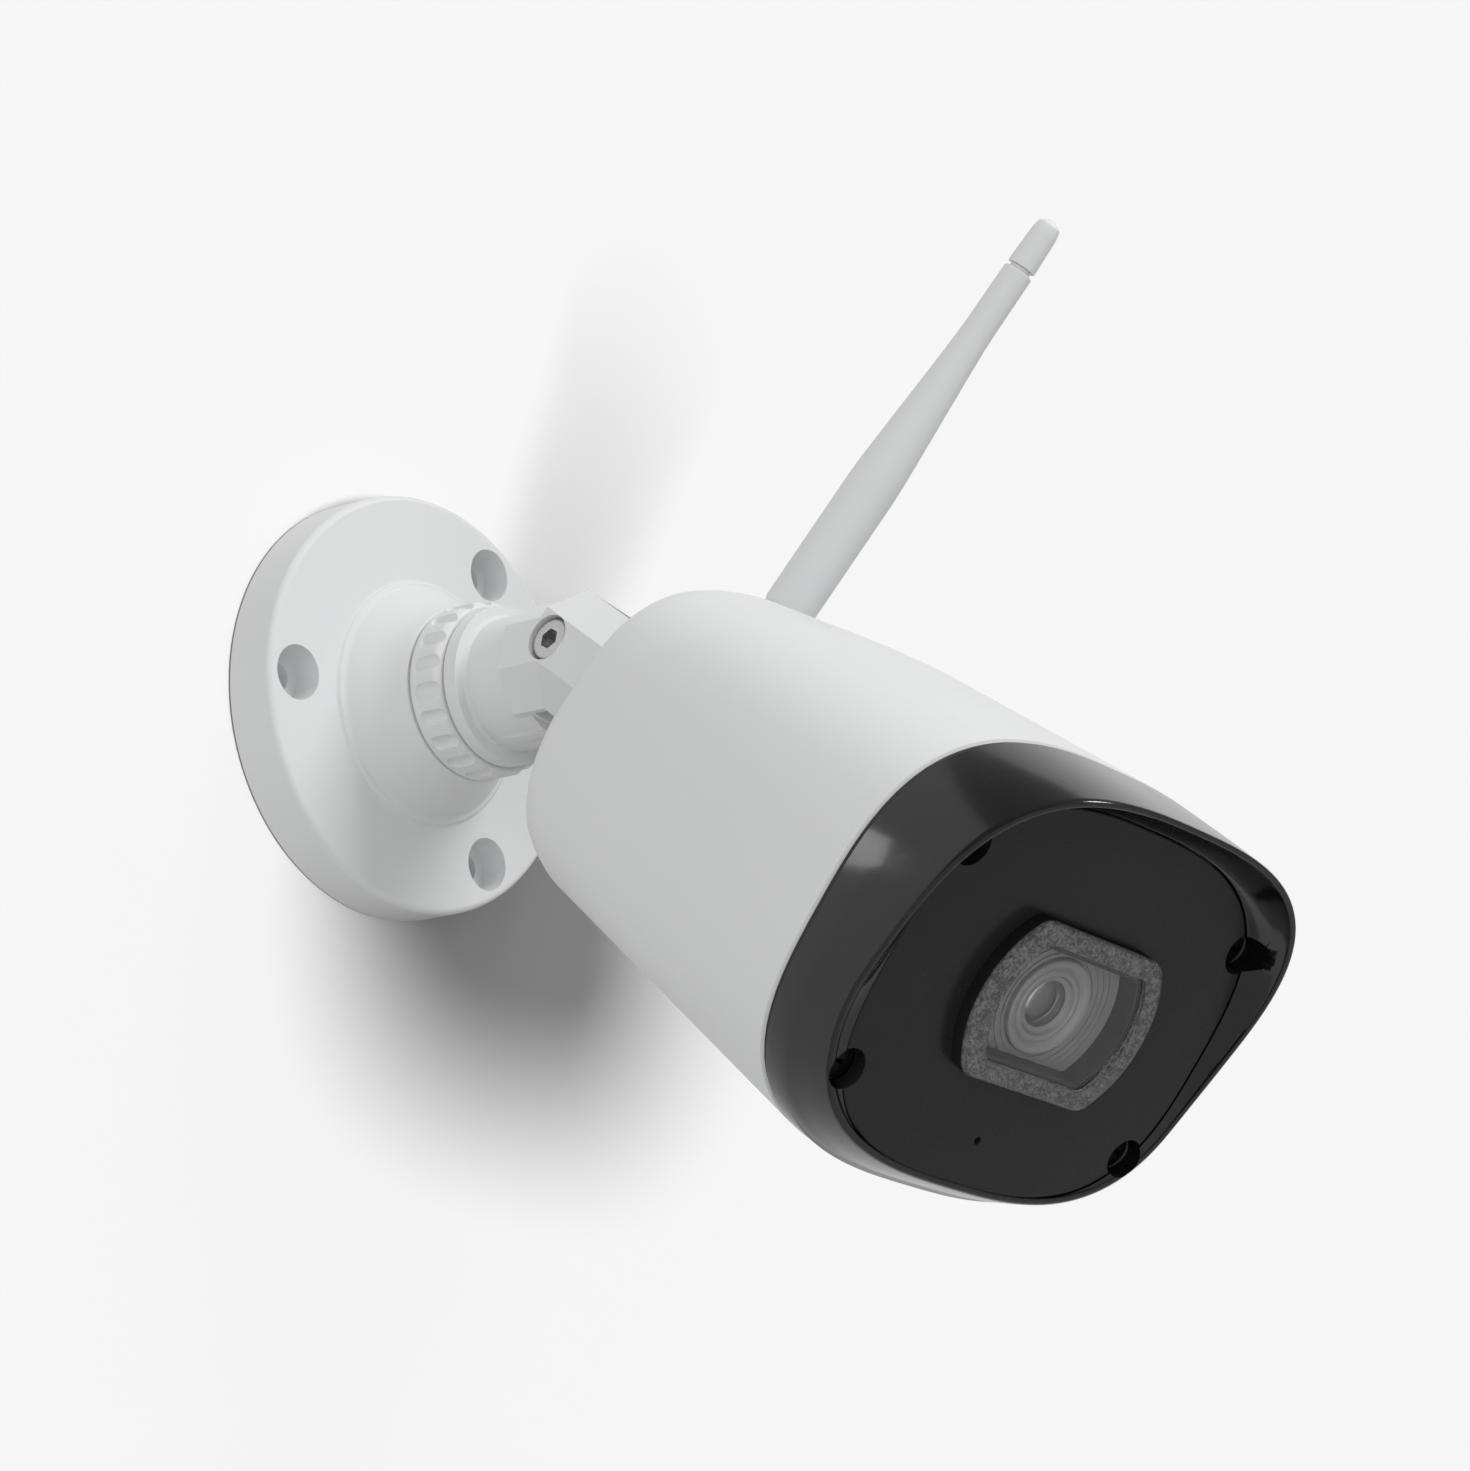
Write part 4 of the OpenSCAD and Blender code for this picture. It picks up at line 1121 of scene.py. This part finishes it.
class WALLCAM_OT_stage(bpy.types.Operator):
    """Backdrop, floor, lights and camera"""

    bl_idname = "wallcam.stage"
    bl_label = "Stage"

    def execute(self, context):
        scene = context.scene
        paint = backdrop_finish(scene.wallcam.colours.backdrop)
        sheets = []
        for name, turn, at in (("backdrop_wall", 90, (0, 0.0004, 0)), ("backdrop_floor", 0, (0, -1.4, -0.42))):
            bm = bmesh.new()
            bmesh.ops.create_grid(bm, x_segments=8, y_segments=8, size=1.4 if turn else 1.5)
            turned(bm, math.radians(turn), "X")
            bmesh.ops.translate(bm, vec=at, verts=bm.verts)
            mesh = bpy.data.meshes.new(name)
            bm.to_mesh(mesh)
            bm.free()
            sheet = bpy.data.objects.new(name, mesh)
            scene.collection.objects.link(sheet)
            sheet.data.materials.append(paint)
            sheets.append(sheet)

        only_sheets = bpy.data.collections.new("lit_backdrop")
        not_sheets = bpy.data.collections.new("lit_object")
        for sheet in sheets:
            only_sheets.objects.link(sheet)
            not_sheets.objects.link(sheet)
        for entry in not_sheets.collection_objects:
            entry.light_linking.link_state = "EXCLUDE"

        wall_sun("wall_light", (0.34, 1.0, 0.24), 18, 5.7, only_sheets, not_sheets)
        wall_sun("wall_glow", (0.2, 1.0, -0.1), 130, 0.5, only_sheets, not_sheets)
        wall_sun("floor_light", (0, 0, -1), 20, 2.5, only_sheets, not_sheets)

        middle = (0, -0.1, -0.03)
        area_light("key_top", (0.15, -0.75, 0.75), middle, 0.55, 7.0, not_sheets, glossy=False)
        area_light("fill_left", (-0.95, -0.55, 0.1), middle, 0.9, 3.2, not_sheets, glossy=False)
        area_light("fill_below", (-0.35, -0.8, -0.6), middle, 0.9, 1.9, not_sheets, glossy=False)
        area_light("back_glow", (0.25, 1.0, 0.3), middle, 0.9, 2.4, not_sheets, glossy=False)
        area_light("sheen_left", (-0.2, -0.028, 0.03), (-0.07, -0.136, -0.06), 0.045, 0.02, not_sheets, diffuse=False)
        area_light("glint_top", (0.35, -0.6, 0.75), middle, 0.16, 1.2, not_sheets, diffuse=False)

        world = bpy.data.worlds.new("studio")
        world.use_nodes = True
        tree = world.node_tree
        background = tree.nodes["Background"]
        ray = add(tree, "ShaderNodeLightPath").outputs
        around = mix_colour(tree, ray["Is Glossy Ray"], (0.36, 0.36, 0.36, 1), (0.17, 0.17, 0.17, 1))
        tree.links.new(mix_colour(tree, ray["Is Camera Ray"], around, (1, 1, 1, 1)), background.inputs["Color"])
        scene.world = world

        data = bpy.data.cameras.new("viewpoint")
        data.lens = 78.31
        data.sensor_width = 36.0
        data.clip_start = 0.01
        camera = bpy.data.objects.new("viewpoint", data)
        scene.collection.objects.link(camera)
        ahead, upward = Vector((0.7171, 0.6182, 0.3229)), Vector((-0.296, -0.149, 0.943))
        side = ahead.cross(upward).normalized()
        upward = side.cross(ahead).normalized()
        ahead = ahead.normalized()
        matrix = Matrix((side, upward, -ahead)).transposed().to_4x4()
        matrix.translation = Vector((-0.3436, -0.3725, -0.1709))
        camera.matrix_world = matrix
        scene.camera = camera
        scene.view_settings.view_transform = "Standard"
        return {"FINISHED"}


STEPS = (
    WALLCAM_OT_frame, WALLCAM_OT_base, WALLCAM_OT_ring, WALLCAM_OT_elbow, WALLCAM_OT_shell, WALLCAM_OT_cover,
    WALLCAM_OT_hood, WALLCAM_OT_front, WALLCAM_OT_antenna, WALLCAM_OT_stage,
)


class WALLCAM_PT_panel(bpy.types.Panel):
    """Lists the pieces and their sizes"""

    bl_label = "Wall Camera"
    bl_idname = "WALLCAM_PT_panel"
    bl_space_type = "VIEW_3D"
    bl_region_type = "UI"
    bl_category = "Wall Camera"

    def draw(self, context):
        settings = context.scene.wallcam
        for step in STEPS:
            self.layout.operator(step.bl_idname)
        for key in ("base", "bracket", "body", "lens", "antenna", "colours"):
            box = self.layout.box()
            box.label(text=key.capitalize())
            group = getattr(settings, key)
            for name in group.__annotations__:
                box.prop(group, name)


CLASSES = (
    WallcamBaseSizes, WallcamBracketSizes, WallcamBodySizes, WallcamLensSizes, WallcamAntennaSizes,
    WallcamColours, WallcamSettings, *STEPS, WALLCAM_PT_panel,
)


def register():
    for cls in CLASSES:
        bpy.utils.register_class(cls)
    bpy.types.Scene.wallcam = PointerProperty(type=WallcamSettings)


def unregister():
    del bpy.types.Scene.wallcam
    for cls in reversed(CLASSES):
        bpy.utils.unregister_class(cls)


def main():
    register()
    for step in STEPS:
        group, name = step.bl_idname.split(".")
        getattr(getattr(bpy.ops, group), name)()


if __name__ == "__main__":
    main()
